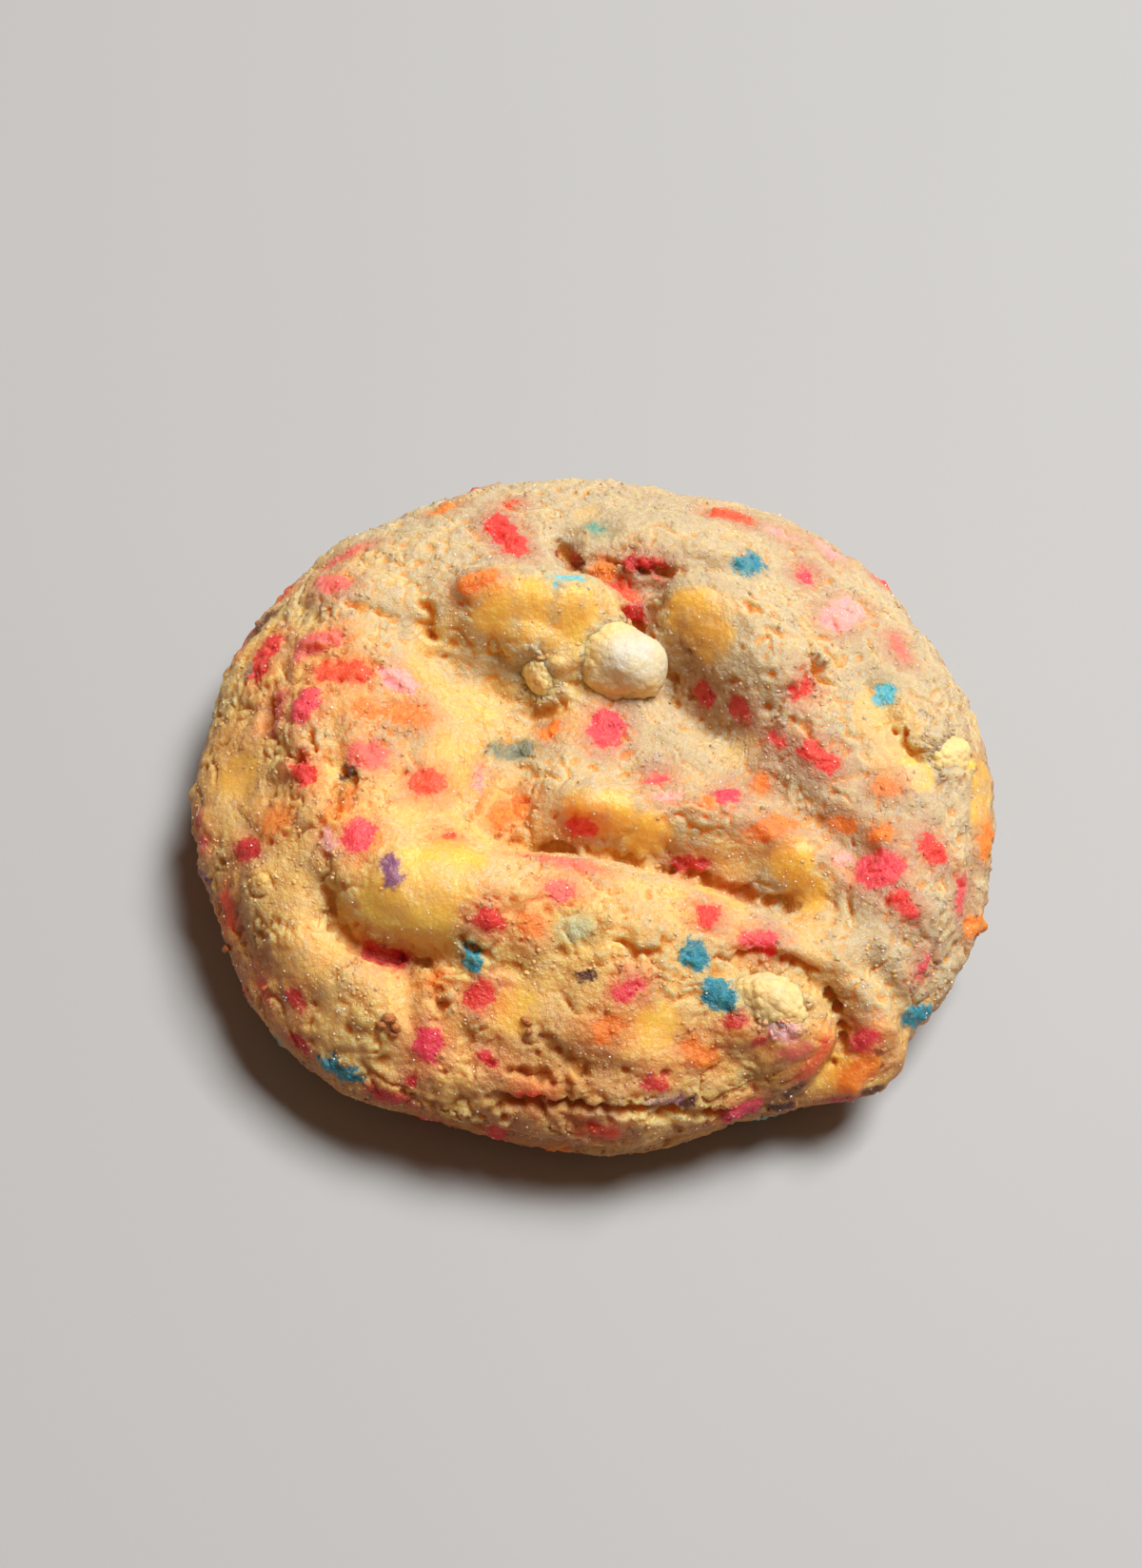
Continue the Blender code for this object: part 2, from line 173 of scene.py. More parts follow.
def curveThrough(route, steps=5):
    route = np.array(route, float)
    padded = np.vstack([2 * route[0] - route[1], route, 2 * route[-1] - route[-2]])
    t = np.arange(steps)[:, None] / steps
    parts = []
    for i in range(len(route) - 1):
        a, b, c, d = padded[i : i + 4]
        parts.append(
            0.5 * (2 * b + (c - a) * t + (2 * a - 5 * b + 4 * c - d) * t**2 + (3 * b - a - 3 * c + d) * t**3)
        )
    return np.vstack([*parts, route[-1]])


def gapToRoute(points, route):
    gap = np.full(len(points), np.inf)
    for a, b in zip(route[:-1], route[1:]):
        way = b - a
        t = np.clip((points - a) @ way / max(way @ way, 1e-9), 0, 1)
        gap = np.minimum(gap, np.linalg.norm(points - a - t[:, None] * way, axis=1))
    return gap


def rideRoot(obj, slotName, *nodes):
    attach(obj, "root")
    if nodes:
        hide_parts(*nodes)


chipNodes = {
    "white_chip_centre": "whiteChipCentre",
    "white_chip_left": "whiteChipLeft",
    "white_chip_rim": "whiteChipRim",
    "white_chip_front": "whiteChipFront",
}

print("camera and helpers ready")

# The dough's surface: where it is smooth and golden, and where it has cracked open

doughShape = {
    "voxel": 0.00032,
    "smoothSteps": 12,
    "undersideBelow": 0.12,  # height in mm
    "undersideKept": 0.08,  # share of the flat underside's faces that stay
    "mostTriangles": 190000,
    "ledges": (3.4, 0.2),  # size of the crust's plates and how far one stands above the next, in mm
    "splits": (0.38, 0.5),  # depth of the splits between plates and half their width
    "drawnOut": 1.2,  # how much longer the plates are round the middle than across
    "billows": [(3.2, 0.5), (1.7, 0.2)],  # size and height of the crumb's uneven lumps
    "fissures": (4.2, 0.08, 0.45),  # size, how much of the noise they take and depth
    "crumb": (1.1, 0.2),
    "grit": (0.8, 0.13),
    "pits": (1.9, 0.55),
    "lip": 0.5,  # how far the dough stands up round a chip
    "lap": 1.3,  # and how far it reaches over the chip's edge
    "flatBase": (0.05, 2.2),  # heights in mm between which the relief sets in
    "hollowSteps": 10,
}

doughMounds = {  # soft mounds added before the skin is drawn: middle and half sizes in mm
    "overLeftChip": ((-9.2, 12.2, 19.0), (4.8, 3.0, 3.2)),
    "betweenChips": ((-5.3, 11.4, 17.1), (3.3, 3.9, 3.7)),
}

smoothSkins = {  # middle and radius in mm
    "humpTop": (-10.4, 12.9, 22.9, 4.6), "humpLeft": (-13.2, 12.9, 22.2, 3.6),
    "humpFall": (-6.2, 11.7, 16.2, 3.6), "humpRight": (-4.5, 13.5, 23.2, 3.2),
    "saddle": (-5.6, 11.0, 20.5, 3.0), "ridgeA": (6.9, 15.7, 21.5, 3.4),
    "ridgeB": (9.8, 13.2, 21.1, 3.2), "ridgeC": (8.1, 16.1, 22.2, 3.0),
    "tongueA": (1.3, -8.9, 20.4, 3.4), "tongueB": (5.4, -9.4, 18.7, 3.2),
    "tongueC": (-1.5, -8.7, 20.9, 3.0), "lobeA": (-15.6, -20.1, 23.2, 5.6),
    "lobeB": (-19.1, -21.6, 22.0, 4.4), "lobeC": (-15.5, -23.8, 21.0, 3.8),
    "lobeD": (-13.3, -16.6, 23.1, 3.8), "yellowA": (20.2, -10.2, 18.6, 3.2),
    "yellowB": (22.3, -12.3, 16.1, 2.8), "leftYellow": (-37.2, -6.4, 14.6, 3.2),
    "frontYellow": (-5.3, -29.7, 17.4, 3.0), "frontGreen": (8.5, -29.6, 17.9, 3.0),
    "rimGold": (40.1, 4.6, 13.5, 3.6), "rimGold2": (32.5, 1.7, 19.6, 3.0),
    "underFlap": (27.3, -29.5, 10.6, 3.0), "rimShoulder": (40.8, 0.3, 13.3, 3.6),
}

cracks = {  # route in mm, half width, depth
    "backLedge": ([(12.8, 17.4, 23.1), (14.5, 16.4, 23.1), (16.2, 16.2, 22.8)], 0.7, 1.0),
    "backLong": (
        [(15.5, 14.1, 23.4), (17.8, 13.5, 23.3), (20.5, 14.9, 20.9), (23.2, 13.6, 20.2), (24.5, 13.8, 19.7)],
        0.8, 1.1,
    ),
    "darkSlot": ([(20.8, 11.9, 22.0), (21.5, 11.0, 21.3), (22.3, 10.1, 20.7)], 1.2, 2.2),
    "nearEdge": ([(21.3, 26.0, 16.0), (23.2, 25.7, 15.9), (24.6, 24.2, 16.6), (24.8, 22.9, 17.2)], 0.7, 0.9),
    "rimPit": ([(25.9, 24.0, 16.2), (26.9, 22.6, 16.6), (27.6, 21.3, 17.2)], 0.9, 1.0),
    "ridgeLip": ([(19.1, 4.6, 21.3), (20.2, 4.2, 21.3), (20.7, 3.6, 21.2)], 0.7, 0.9),
    "upLeftA": (
        [(-27.1, 19.3, 18.0), (-25.2, 19.6, 18.4), (-23.3, 19.0, 18.9), (-21.6, 20.1, 19.0)],
        0.8, 1.0,
    ),
    "upLeftB": (
        [(-30.7, 12.1, 19.4), (-28.0, 12.4, 20.2), (-25.1, 12.0, 20.2), (-22.3, 11.8, 19.5),
         (-21.0, 11.3, 19.1)],
        0.8, 1.0,
    ),
    "upLeftPit": ([(-21.4, 11.6, 19.4), (-20.3, 11.3, 18.9), (-19.3, 10.8, 18.3)], 1.4, 1.6),
    "upLeftC": ([(-20.8, 13.9, 20.1), (-20.2, 12.8, 19.7), (-20.1, 11.7, 19.1)], 0.7, 0.9),
    "leftFold": (
        [(-30.4, -3.9, 20.7), (-29.1, -5.5, 21.3), (-27.7, -6.3, 20.7), (-26.1, -7.5, 20.2),
         (-24.7, -8.6, 21.5)],
        0.9, 1.3,
    ),
    "leftFlank": (
        [(-35.5, 2.7, 16.6), (-35.7, 0.9, 16.3), (-34.7, -2.3, 17.1), (-32.4, -5.4, 19.2),
         (-30.3, -6.9, 20.4)],
        1.1, 1.5,
    ),
    "leftDeep": ([(-26.6, -9.3, 20.6), (-26.3, -11.1, 21.2), (-26.1, -13.3, 21.8)], 0.9, 1.6),
    "lobeLeft": (
        [(-25.7, -19.8, 18.3), (-25.3, -20.5, 17.0), (-24.8, -21.7, 16.1), (-23.7, -23.4, 16.1),
         (-21.7, -25.1, 16.3)],
        1.0, 1.5,
    ),
    "lobeUnder": (
        [(-21.7, -25.1, 16.3), (-19.7, -25.7, 16.3), (-17.2, -25.2, 15.6), (-14.8, -25.6, 16.7)],
        1.0, 1.2,
    ),
    "lobeSplit": ([(-14.6, -26.0, 17.0), (-14.0, -28.2, 17.7), (-13.0, -30.2, 16.7)], 0.8, 1.0),
    "frontMid": (
        [(-11.6, -24.6, 20.2), (-10.2, -24.8, 20.2), (-9.0, -25.3, 19.9), (-7.8, -26.1, 19.4),
         (-6.2, -26.2, 19.1)],
        0.8, 1.1,
    ),
    "frontLobe": (
        [(1.3, -23.2, 21.9), (3.6, -23.0, 21.9), (5.3, -23.7, 21.7), (7.2, -23.4, 21.6), (8.2, -22.8, 21.8)],
        0.8, 1.1,
    ),
    "frontHollow": (
        [(-3.0, -32.0, 17.0), (-1.0, -33.1, 15.9), (0.5, -33.8, 15.5), (1.7, -34.8, 15.4)],
        1.4, 1.6,
    ),
    "frontSeam": (
        [(-5.0, -35.1, 15.2), (-3.5, -35.1, 15.0), (-0.2, -35.8, 14.9), (0.6, -36.4, 14.6)],
        0.9, 1.2,
    ),
    "lowSeam": (
        [(-6.0, -37.4, 12.6), (0.6, -37.4, 13.1), (5.7, -37.1, 13.5), (12.8, -36.1, 11.6),
         (16.2, -35.1, 10.7)],
        1.1, 1.5,
    ),
    "flapBack": (
        [(15.6, -22.0, 18.6), (17.8, -21.0, 19.3), (20.9, -21.3, 18.2), (23.9, -21.4, 17.1)],
        0.8, 1.0,
    ),
    "flapRight": (
        [(24.9, -22.6, 15.7), (26.5, -24.3, 14.0), (27.2, -26.1, 12.4), (26.8, -28.6, 10.8)],
        0.9, 1.3,
    ),
    "rimChipEdge": ([(30.5, 6.1, 18.9), (31.5, 4.7, 18.6), (32.4, 3.9, 18.2), (33.9, 3.0, 17.6)], 0.9, 1.2),
    "tongueFoot": (
        [(-9.5, -10.8, 16.7), (-6.5, -11.1, 15.9), (-3.1, -10.9, 15.9), (1.8, -11.2, 16.4),
         (7.8, -11.5, 15.3), (12.8, -12.6, 15.6), (17.8, -13.1, 14.8), (21.3, -13.3, 14.7)],
        1.0, 1.3,
    ),
    "bowlLeft": (
        [(-12.0, -1.5, 17.4), (-12.2, -4.6, 17.9), (-11.5, -7.1, 17.6), (-12.2, -9.7, 18.2)],
        0.8, 0.7,
    ),
    "humpFoot": ([(-9.5, 5.6, 15.7), (-7.9, 4.6, 15.4), (-6.0, 5.1, 16.5), (-4.1, 5.5, 17.6)], 0.9, 1.0),
    "ridgeFoot": (
        [(0.2, 16.4, 19.7), (1.7, 16.3, 17.4), (4.4, 13.3, 16.0), (6.2, 11.4, 15.2), (8.4, 9.5, 15.4)],
        0.9, 1.1,
    ),
    "backCrack": (
        [(-7.2, 24.9, 17.2), (-6.0, 23.0, 17.5), (-4.0, 22.6, 18.9), (-0.9, 22.4, 19.6), (2.3, 21.0, 19.9),
         (4.8, 21.3, 20.3)],
        0.9, 1.3,
    ),
}


def smoothness(points):
    # 1 on the moist golden skins, 0 on the open crumb
    soft = np.zeros(len(points))
    for x, y, z, radius in smoothSkins.values():
        gap = np.linalg.norm(points - (x, y, z), axis=1)
        soft = np.maximum(soft, 1 - smoothStep(gap, 0.45 * radius, 1.25 * radius))
    patches = smoothStep(noiseAt(points, 9.0, 31.0), 0.12, 0.45) * 0.55
    return np.clip(np.maximum(soft, patches), 0, 1)


def openCracks(points):
    # how deep each point lies in a named crack
    ragged = 0.85 * noiseAt(points, 0.95, 5.0) + 0.75 * noiseAt(points, 2.4, 6.0)
    broken = 0.35 + 0.75 * smoothStep(noiseAt(points, 3.0, 8.0), -0.35, 0.3)
    depth = np.zeros(len(points))
    for route, halfWidth, deepest in cracks.values():
        gap = gapToRoute(points, curveThrough(route)) + ragged
        depth = np.maximum(depth, deepest * (1 - smoothStep(gap, 0.1 * halfWidth, 0.9 * halfWidth)))
    return depth * broken


def chipGap(points):
    # distance from each point to the nearest chip, in mm, less than nothing inside it, and the way to it
    gap = np.full(len(points), 9.0)
    toward = np.zeros((len(points), 3))
    for node in chipNodes:
        tree = BVHTree.FromObject(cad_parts[node], bpy.context.evaluated_depsgraph_get())
        low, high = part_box(node)
        middle = (low + high) / 2 / mm
        near = np.nonzero(np.linalg.norm(points - np.array(middle), axis=1) < 9)[0]
        for i in near:
            where, normal = tree.find_nearest(Vector(points[i]) * mm)[:2]
            away = Vector(points[i]) - where / mm
            found = math.copysign(away.length, away.dot(normal))
            if found < gap[i]:
                gap[i] = found
                toward[i] = -normal
    return gap, toward


shadedPatches = {  # named places turned from the key light, painted darker as painted shade: middle, radius and how much
    "ridgeFace": (8.0, 13.4, 20.0, 5.0, 0.5),
    "tongueFace": (3.0, -10.6, 18.0, 4.0, 0.2),
    "frontRight": (21.5, -32.0, 11.0, 5.0, 0.5),
    "frontMiddle": (1.0, -34.5, 14.0, 9.0, 0.6),
    "leftShoulder": (-33.5, -8.0, 15.0, 7.0, 0.35),
    "leftFlank": (-38.5, -3.0, 12.0, 8.0, 0.45),
}


def browningAndShadeOf(points, normals):
    # browned most at the foot; the steep flank is painted darker than the top as painted shade, and so are
    # the named patches
    drift = noiseAt(points, 14.0, 53.0) + 0.5 * noiseAt(points, 4.0, 51.0)
    foot = 1 - smoothStep(points[:, 2] + 2.0 * drift, 0.4, 9.5)
    steep = 1 - smoothStep(normals[:, 2] + 0.3 * drift, 0.1, 0.85)
    tone = np.maximum(foot, 0.8 * steep * (1 - smoothStep(points[:, 2] + 3.0 * drift, 11.0, 20.0)))
    for x, y, z, radius, strength in shadedPatches.values():
        gap = np.linalg.norm(points - (x, y, z), axis=1) * (1 + 0.4 * drift)
        tone = np.maximum(tone, strength * (1 - smoothStep(gap, 0.3 * radius, radius)))
    return tone


def shapeDough():
    dough = copyOfNode("dough", "bakedDough")
    for middle, halfSizes in doughMounds.values():
        deselectAll()
        bpy.ops.mesh.primitive_uv_sphere_add(
            segments=32, ring_count=20, radius=mm, location=Vector(middle) * mm, scale=halfSizes
        )
        dough.select_set(True)
        bpy.context.view_layer.objects.active = dough
        bpy.ops.object.join()
    applyModifier(dough, "REMESH", mode="VOXEL", voxel_size=doughShape["voxel"], adaptivity=0.0)
    applyModifier(dough, "SMOOTH", factor=0.5, iterations=doughShape["smoothSteps"])

    points = pointsOf(dough)
    under = points[:, 2] < doughShape["undersideBelow"]
    group = dough.vertex_groups.new(name="underside")
    group.add([int(i) for i in np.nonzero(under)[0]], 1.0, "REPLACE")
    kept = 1 - under.mean() * (1 - doughShape["undersideKept"])
    applyModifier(dough, "DECIMATE", ratio=kept, vertex_group="underside")
    dough.vertex_groups.clear()

    points, normals = pointsOf(dough), normalsOf(dough)
    soft = smoothness(points)
    rough = 1 - 0.8 * soft
    warp = np.stack([noiseAt(points, 2.6, shift) for shift in (11.0, 12.0, 13.0)], axis=1)

    # the crust has split along the rim, so its plates are drawn out round the middle
    warped = points + 2.0 * warp
    fromMiddle = np.linalg.norm(warped[:, :2] - skinCentre, axis=1)
    across = warped[:, :2] / doughShape["drawnOut"]
    drawnOut = np.stack([across[:, 0], across[:, 1], 0.7 * fromMiddle - 0.8 * warped[:, 2]], axis=1)
    size, height = doughShape["ledges"]
    depth, halfWidth = doughShape["splits"]
    _, gap, draw = cellsAt(drawnOut, size, 7.0)
    gap = gap + 0.12 * noiseAt(points, 0.9, 43.0)
    shown = smoothStep(noiseAt(points, 6.0, 41.0), 0.0, 0.35)
    ledges = height * (draw - 0.5) * smoothStep(gap, 0.0, 0.25) * shown
    splits = depth * shown * (1 - smoothStep(gap * size, 0.1, halfWidth * (0.5 + draw)))

    # billowed noise: round lumps with sharp creases between them
    clumped = smoothStep(noiseAt(points, 5.0, 45.0), -0.35, 0.2)
    lumps = np.zeros(len(points))
    for i, (size, height) in enumerate(doughShape["billows"]):
        lumps += height * (np.abs(noiseAt(points + 0.4 * warp, size, 61.0 + i)) - 0.2)
    lumps *= 0.3 + 0.7 * clumped
    size, share, depth = doughShape["fissures"]
    winding = np.abs(noiseAt(points + 0.8 * warp, size, 67.0))
    fissured = smoothStep(noiseAt(points, 3.4, 69.0), -0.05, 0.2)
    fissures = depth * (1 - smoothStep(winding, 0.1 * share, share)) * fissured
    size, height = doughShape["crumb"]
    near, _, draw = cellsAt(points + 0.6 * warp, size, 3.0)
    grainy = smoothStep(noiseAt(points, 2.7, 47.0), -0.3, 0.3)
    crumb = height * (0.5 - 1.7 * near**2 + 0.8 * (draw - 0.5)) * (0.2 + 0.8 * grainy)
    size, height = doughShape["grit"]
    grit = height * noiseAt(points, size, 21.0)

    size, depth = doughShape["pits"]
    near, _, draw = cellsAt(points + 0.8 * warp, size, 17.0)
    radius = 0.25 + 0.75 * draw**2
    pits = depth * (draw > 0.45) * (0.5 + 0.5 * draw) * (1 - smoothStep(near * size, 0.3 * radius, radius))
    named = openCracks(points)

    # round a chip the dough stands up a little and laps over its edge in uneven tongues
    byChip, toChip = chipGap(points)
    lip = doughShape["lip"] * (1 - smoothStep(byChip + 0.5 * warp[:, 0], 0.3, 2.2))
    reach = smoothStep(noiseAt(points, 1.3, 73.0) + 0.6 * noiseAt(points, 3.0, 74.0), -0.45, 0.45)
    lap = doughShape["lap"] * reach * (1 - smoothStep(byChip, 0.2, 1.8))
    clear = smoothStep(byChip, 0.5, 1.3)
    relief = rough * (ledges + lumps) + (0.4 + 0.6 * rough) * grit
    lift = clear * relief + np.maximum(rough, 1 - clear) * crumb + lip
    sunk = np.maximum(np.maximum.reduce([splits, fissures, pits]) * rough, named) * clear
    aboveBase = smoothStep(points[:, 2], *doughShape["flatBase"])
    movePoints(dough, points + normals * ((lift - sunk) * aboveBase)[:, None] + toChip * lap[:, None])
    pickOnly(dough)
    bpy.ops.object.shade_smooth()

    # fewer faces where the relief is flat
    storeNumbers(dough, "sunk", sunk)
    triangles = sum(len(face.vertices) - 2 for face in dough.data.polygons)
    applyModifier(dough, "DECIMATE", ratio=min(1.0, doughShape["mostTriangles"] / triangles))
    sunk = numbersOf(dough, "sunk")
    dough.data.attributes.remove(dough.data.attributes["sunk"])

    # hollows are where the skin lies below a smoothed copy of itself; the dough is painted darker gold there
    # as painted shade
    points, normals = pointsOf(dough), normalsOf(dough)
    soft = smoothness(points)
    smoothed = dough.copy()
    smoothed.data = dough.data.copy()
    bpy.context.scene.collection.objects.link(smoothed)
    applyModifier(smoothed, "SMOOTH", factor=0.5, iterations=doughShape["hollowSteps"])
    below = ((pointsOf(smoothed) - points) * normals).sum(axis=1)
    bpy.data.objects.remove(smoothed)
    crevice = np.clip(0.42 + 2.6 * below + 0.25 * sunk, 0, 1.5)
    return dough, soft, crevice, browningAndShadeOf(points, normals)


baseDough, softSkin, creviceDepth, browningAndShade = shapeDough()
print("dough shaped:", len(baseDough.data.polygons), "faces")

# Sprinkles: place in mm, heading in plan, length, width and how far the colour has blurred into the dough

sprinkleColours = {
    "coral": (0.90, 0.17, 0.13), "red": (0.84, 0.045, 0.032), "vermilion": (0.88, 0.10, 0.03),
    "palepink": (0.94, 0.42, 0.38), "hotpink": (0.90, 0.07, 0.095), "orange": (0.88, 0.24, 0.022),
    "burnt": (0.14, 0.035, 0.012), "violet": (0.30, 0.12, 0.22), "crimson": (0.62, 0.025, 0.022),
    "darkred": (0.38, 0.04, 0.015), "teal": (0.16, 0.36, 0.26), "cyan": (0.12, 0.56, 0.66),
    "slate": (0.17, 0.21, 0.15), "blue": (0.02, 0.27, 0.36), "magenta": (0.84, 0.045, 0.10),
    "mint": (0.58, 0.64, 0.42),
}
sprinkles = {
    "coral": [
        (-31.5, 16.6, 17.7, -36, 6.6, 2.3, 0.3), (-31.5, 7.7, 20.1, -3, 6.3, 2.4, 0.2),
        (-34.4, 0.4, 17.4, 79, 4, 2.4, 0.6), (-40.3, 11.4, 10.9, 83, 4.3, 0.9, 0.3),
        (-30.4, 22.2, 14.8, 16, 5.7, 1, 0.4), (30, 17, 18.2, -72, 3.2, 1.2, 0.6),
        (-23.8, -5.8, 21.7, 12, 4.1, 2.5, 0.45), (-40.6, -11.9, 11.2, 97, 4.4, 1, 0.4),
        (-3, -14.4, 20.6, -37, 9.4, 1.9, 0.75), (-2.7, -18.6, 22.8, 15, 2.8, 1.9, 0.2),
        (22.5, -30, 16, 9, 3.1, 1.4, 0.6),
    ],
    "red": [
        (-37.1, 7.8, 15.4, 79, 6, 2.4, 0.1), (-13.4, 24.8, 18.7, -35, 7.8, 2.6, 0.1),
        (19.8, 8.4, 21.9, 49, 3.2, 1.2, 0.2), (22.1, 1.2, 20.8, -21, 4.5, 2.2, 0.1),
        (17.5, 2.8, 19.8, -24, 1.9, 1.1, 0.2), (-30.2, -7.8, 20.5, -57, 3.9, 1.9, 0.1),
        (-1.3, -9.6, 18.9, 33, 3, 2.1, 0.15), (-9.3, -22.8, 22.6, 49, 2.6, 2.3, 0.05),
        (12.2, -18.5, 21.2, 47, 2.7, 1.6, 0.15), (34.9, -6.8, 18.9, -28, 3.7, 2.4, 0.3),
        (31.9, -13.8, 19.3, -42, 3.2, 1.6, 0.3), (-9.2, -28.8, 18, 47, 2.8, 2.3, 0.15),
    ],
    "vermilion": [
        (-27.9, 4, 20.9, -9, 6.1, 2.4, 0.2), (-18.5, 35.4, 10.3, 15, 2.6, 1.2, 0.1),
        (-13.4, 30.6, 16, 37, 1.8, 1, 0.2), (0, 19.6, 18, -43, 3.3, 2.3, 0.2),
        (10.8, 33.2, 15.9, 5, 5.7, 2.6, 0.15), (-17.3, -7.5, 21, 12, 3.9, 2.5, 0.2),
        (-36.1, -20.3, 11.7, -71, 6, 1.6, 0.2), (-14.4, -13.7, 21.5, 17, 0.9, 0.8, 0.1),
        (-3, -37.4, 13.4, 0, 2.8, 1.1, 0.4), (-31.4, -27.9, 11, -57, 4.1, 0.8, 0.3),
        (3.9, -38.7, 10.7, 5, 3.9, 1.5, 0.3), (24.6, -30, 14, 90, 6.1, 1.3, 0.6),
    ],
    "palepink": [
        (-21.9, 3.7, 21.3, -35, 8.1, 2.4, 0.2), (16.8, 31.8, 15, -5, 3.7, 1, 0.5),
        (22.2, 31.7, 13.1, -26, 4.2, 1.5, 0.4), (23.9, 20.5, 18.8, 59, 7.6, 3.3, 0.3),
        (-26.3, -15.6, 21.1, -55, 2.5, 1.1, 0.5), (-12.3, -5, 17.9, 89, 2.8, 1, 0.5),
        (6.8, -5.4, 20.4, 14, 2.7, 1.5, 0.4), (25.6, -8.9, 17.9, -9, 1.5, 1, 0.3),
        (20.9, -28.7, 18, 10, 3, 1.7, 0.4),
    ],
    "hotpink": [
        (-31.4, -0.3, 20.8, 70, 3.9, 2.8, 0.15), (-0.2, 2.8, 17.8, 79, 4.6, 3.2, 0.1),
        (19.7, 25.7, 16.7, 78, 3.7, 1.4, 0.3), (-23.2, -15.1, 22.3, 70, 3.6, 2.7, 0.15),
        (5.9, -2.4, 17.7, 22, 1.8, 1, 0.4), (28.9, -10.2, 19.4, 5, 5, 3.7, 0.2),
        (38.4, -9.6, 14.6, 84, 3.9, 1.4, 0.3), (17.7, -20.3, 19.7, -28, 4.4, 2, 0.3),
        (34.9, -18.5, 14.8, 75, 2.9, 1, 0.4), (5.1, -27, 20.2, 44, 3, 1.6, 0.2),
        (29.3, -26.9, 13.7, 49, 2.7, 1.9, 0.4),
    ],
    "orange": [
        (-24.7, -0.6, 21.6, 13, 2.6, 2, 0.6), (-20.3, -0.3, 20.9, -4, 4.5, 2, 0.7),
        (-21, 30.1, 14.4, 22, 3, 1.5, 0.4), (-15.6, 15.9, 23.4, 22, 4.6, 2.4, 0.2),
        (-2.3, 21.6, 18.6, -15, 2.7, 2.1, 0.4), (-6, 2.5, 16.8, 12, 2.3, 1.8, 0.1),
        (-25.5, -11.3, 21.4, 96, 4.5, 1.1, 0.3), (-32.1, -12.8, 18.2, 0, 3.6, 2.3, 0.6),
        (-14, -27.8, 17.8, 88, 2.1, 1.2, 0.2), (-37.1, -21, 9.6, -55, 3, 0.8, 0.3),
        (-8.9, -7.7, 16.5, 47, 5.2, 1.9, 0.2), (-5.2, -22.4, 21.9, -10, 2.2, 1.7, 0.5),
        (11.1, -5.6, 20.7, 12, 1.6, 1, 0.4), (16.6, -1.2, 17.7, 2, 1.7, 1.5, 0.3),
        (18.2, -7, 20, 38, 7.8, 2.1, 0.6), (29.3, -0.8, 19.7, 10, 2.5, 1.4, 0.5),
        (28.9, -6.5, 19.7, 11, 3, 1.8, 0.15), (25.2, -5, 18.1, -7, 2.7, 1.2, 0.3),
        (3.7, -30.8, 18.1, 37, 3, 1.9, 0.2), (12.9, -31.4, 15.9, -24, 3.4, 2.1, 0.35),
    ],
    "burnt": [
        (-38.4, 13.7, 12, 54, 5.8, 1.5, 0.5), (22, -32.9, 8.8, 19, 2.6, 0.8, 0.1),
        (31.1, -30, 9.2, 39, 1.9, 0.8, 0.2), (0.8, -26.4, 20.2, -3, 1.8, 0.7, 0.1),
        (23.1, -31.9, 11.1, 78, 2.8, 0.8, 0.5), (-25.6, -7.7, 20.8, 78, 1.5, 1.3, 0.2),
        (12.1, -35.3, 12.9, 5, 1.7, 0.7, 0.2),
    ],
    "violet": [
        (-38.4, 6.1, 14.4, -45, 2.9, 1.2, 0.7), (-39.2, -16.6, 9.9, 92, 3.6, 1.3, 0.2),
        (-19.4, -19.1, 23.4, -64, 3.2, 1.6, 0.3), (10.3, -35.6, 13.2, 10, 4.1, 1, 0.7),
    ],
    "darkred": [
        (-6.1, 23.5, 17.5, -70, 4, 1.3, 0.2),
    ],
    "teal": [
        (-3.6, 26.9, 18.6, -36, 2.1, 1.2, 0.4),
    ],
    "cyan": [
        (-5.7, 17.2, 23.5, 35, 5.2, 1.5, 0.2), (28.6, 10.5, 18.9, 65, 2.2, 1.7, 0.25),
    ],
    "crimson": [
        (1.8, 21.3, 20.1, -10, 5.1, 1.5, 0.2), (1.6, 17, 17.9, -28, 2.9, 1.5, 0.3),
        (9.8, 8.9, 16.8, 88, 2.8, 2, 0.15), (13.6, 6.3, 19.2, -49, 2.9, 1.7, 0.15),
        (-34.9, -15.4, 16.1, 8, 3.3, 2.3, 0.2), (-19.2, -24.8, 15.8, -16, 4.9, 2.1, 0.3),
        (10.3, -10.9, 16.4, 6, 3.5, 1.5, 0.35), (14.8, -13.3, 15.5, 32, 2.5, 1, 0.6),
        (-27.6, -29.7, 13.2, -59, 2, 1.4, 0.2), (-26.9, -33.5, 10, -48, 2.9, 1.2, 0.2),
        (-16.6, -37.8, 10.3, -3, 6.1, 1.3, 0.2), (-14.9, -36.2, 12.3, 74, 1.4, 0.9, 0.2),
        (-7.7, -34.1, 15.1, -40, 2.4, 0.8, 0.15), (9, -34.4, 14.9, -18, 2.5, 1.5, 0.2),
        (15.9, -28.3, 18.3, -3, 2.2, 1.6, 0.3), (18.6, -29.6, 17, 20, 1.3, 0.8, 0.5),
        (28.5, -31.3, 8.4, 3, 2.8, 0.8, 0.3),
    ],
    "slate": [
        (-10.3, -0.5, 16, 13, 5.8, 2, 0.6),
    ],
    "blue": [
        (13.1, 24.3, 19.7, 54, 4.3, 2.3, 0.35), (-22.2, -35.7, 10.6, -20, 4.5, 1.6, 0.15),
        (-10.6, -25.8, 19.7, 80, 2.4, 1.8, 0.2), (11.2, -22.9, 20.6, -36, 3.1, 2.4, 0.15),
        (14, -26.2, 19.4, -48, 4, 2.5, 0.1),
    ],
    "mint": [
        (-0.7, -22.1, 22, 4, 2.6, 1.9, 0.7),
    ],
    "magenta": [
        (13.1, -3.9, 19.6, 60, 4.1, 1.8, 0.35), (-13.7, -33.6, 15.3, 86, 3.5, 2.4, 0.2),
        (18.1, -34.4, 10, 21, 4.5, 1.9, 0.1),
    ],
}
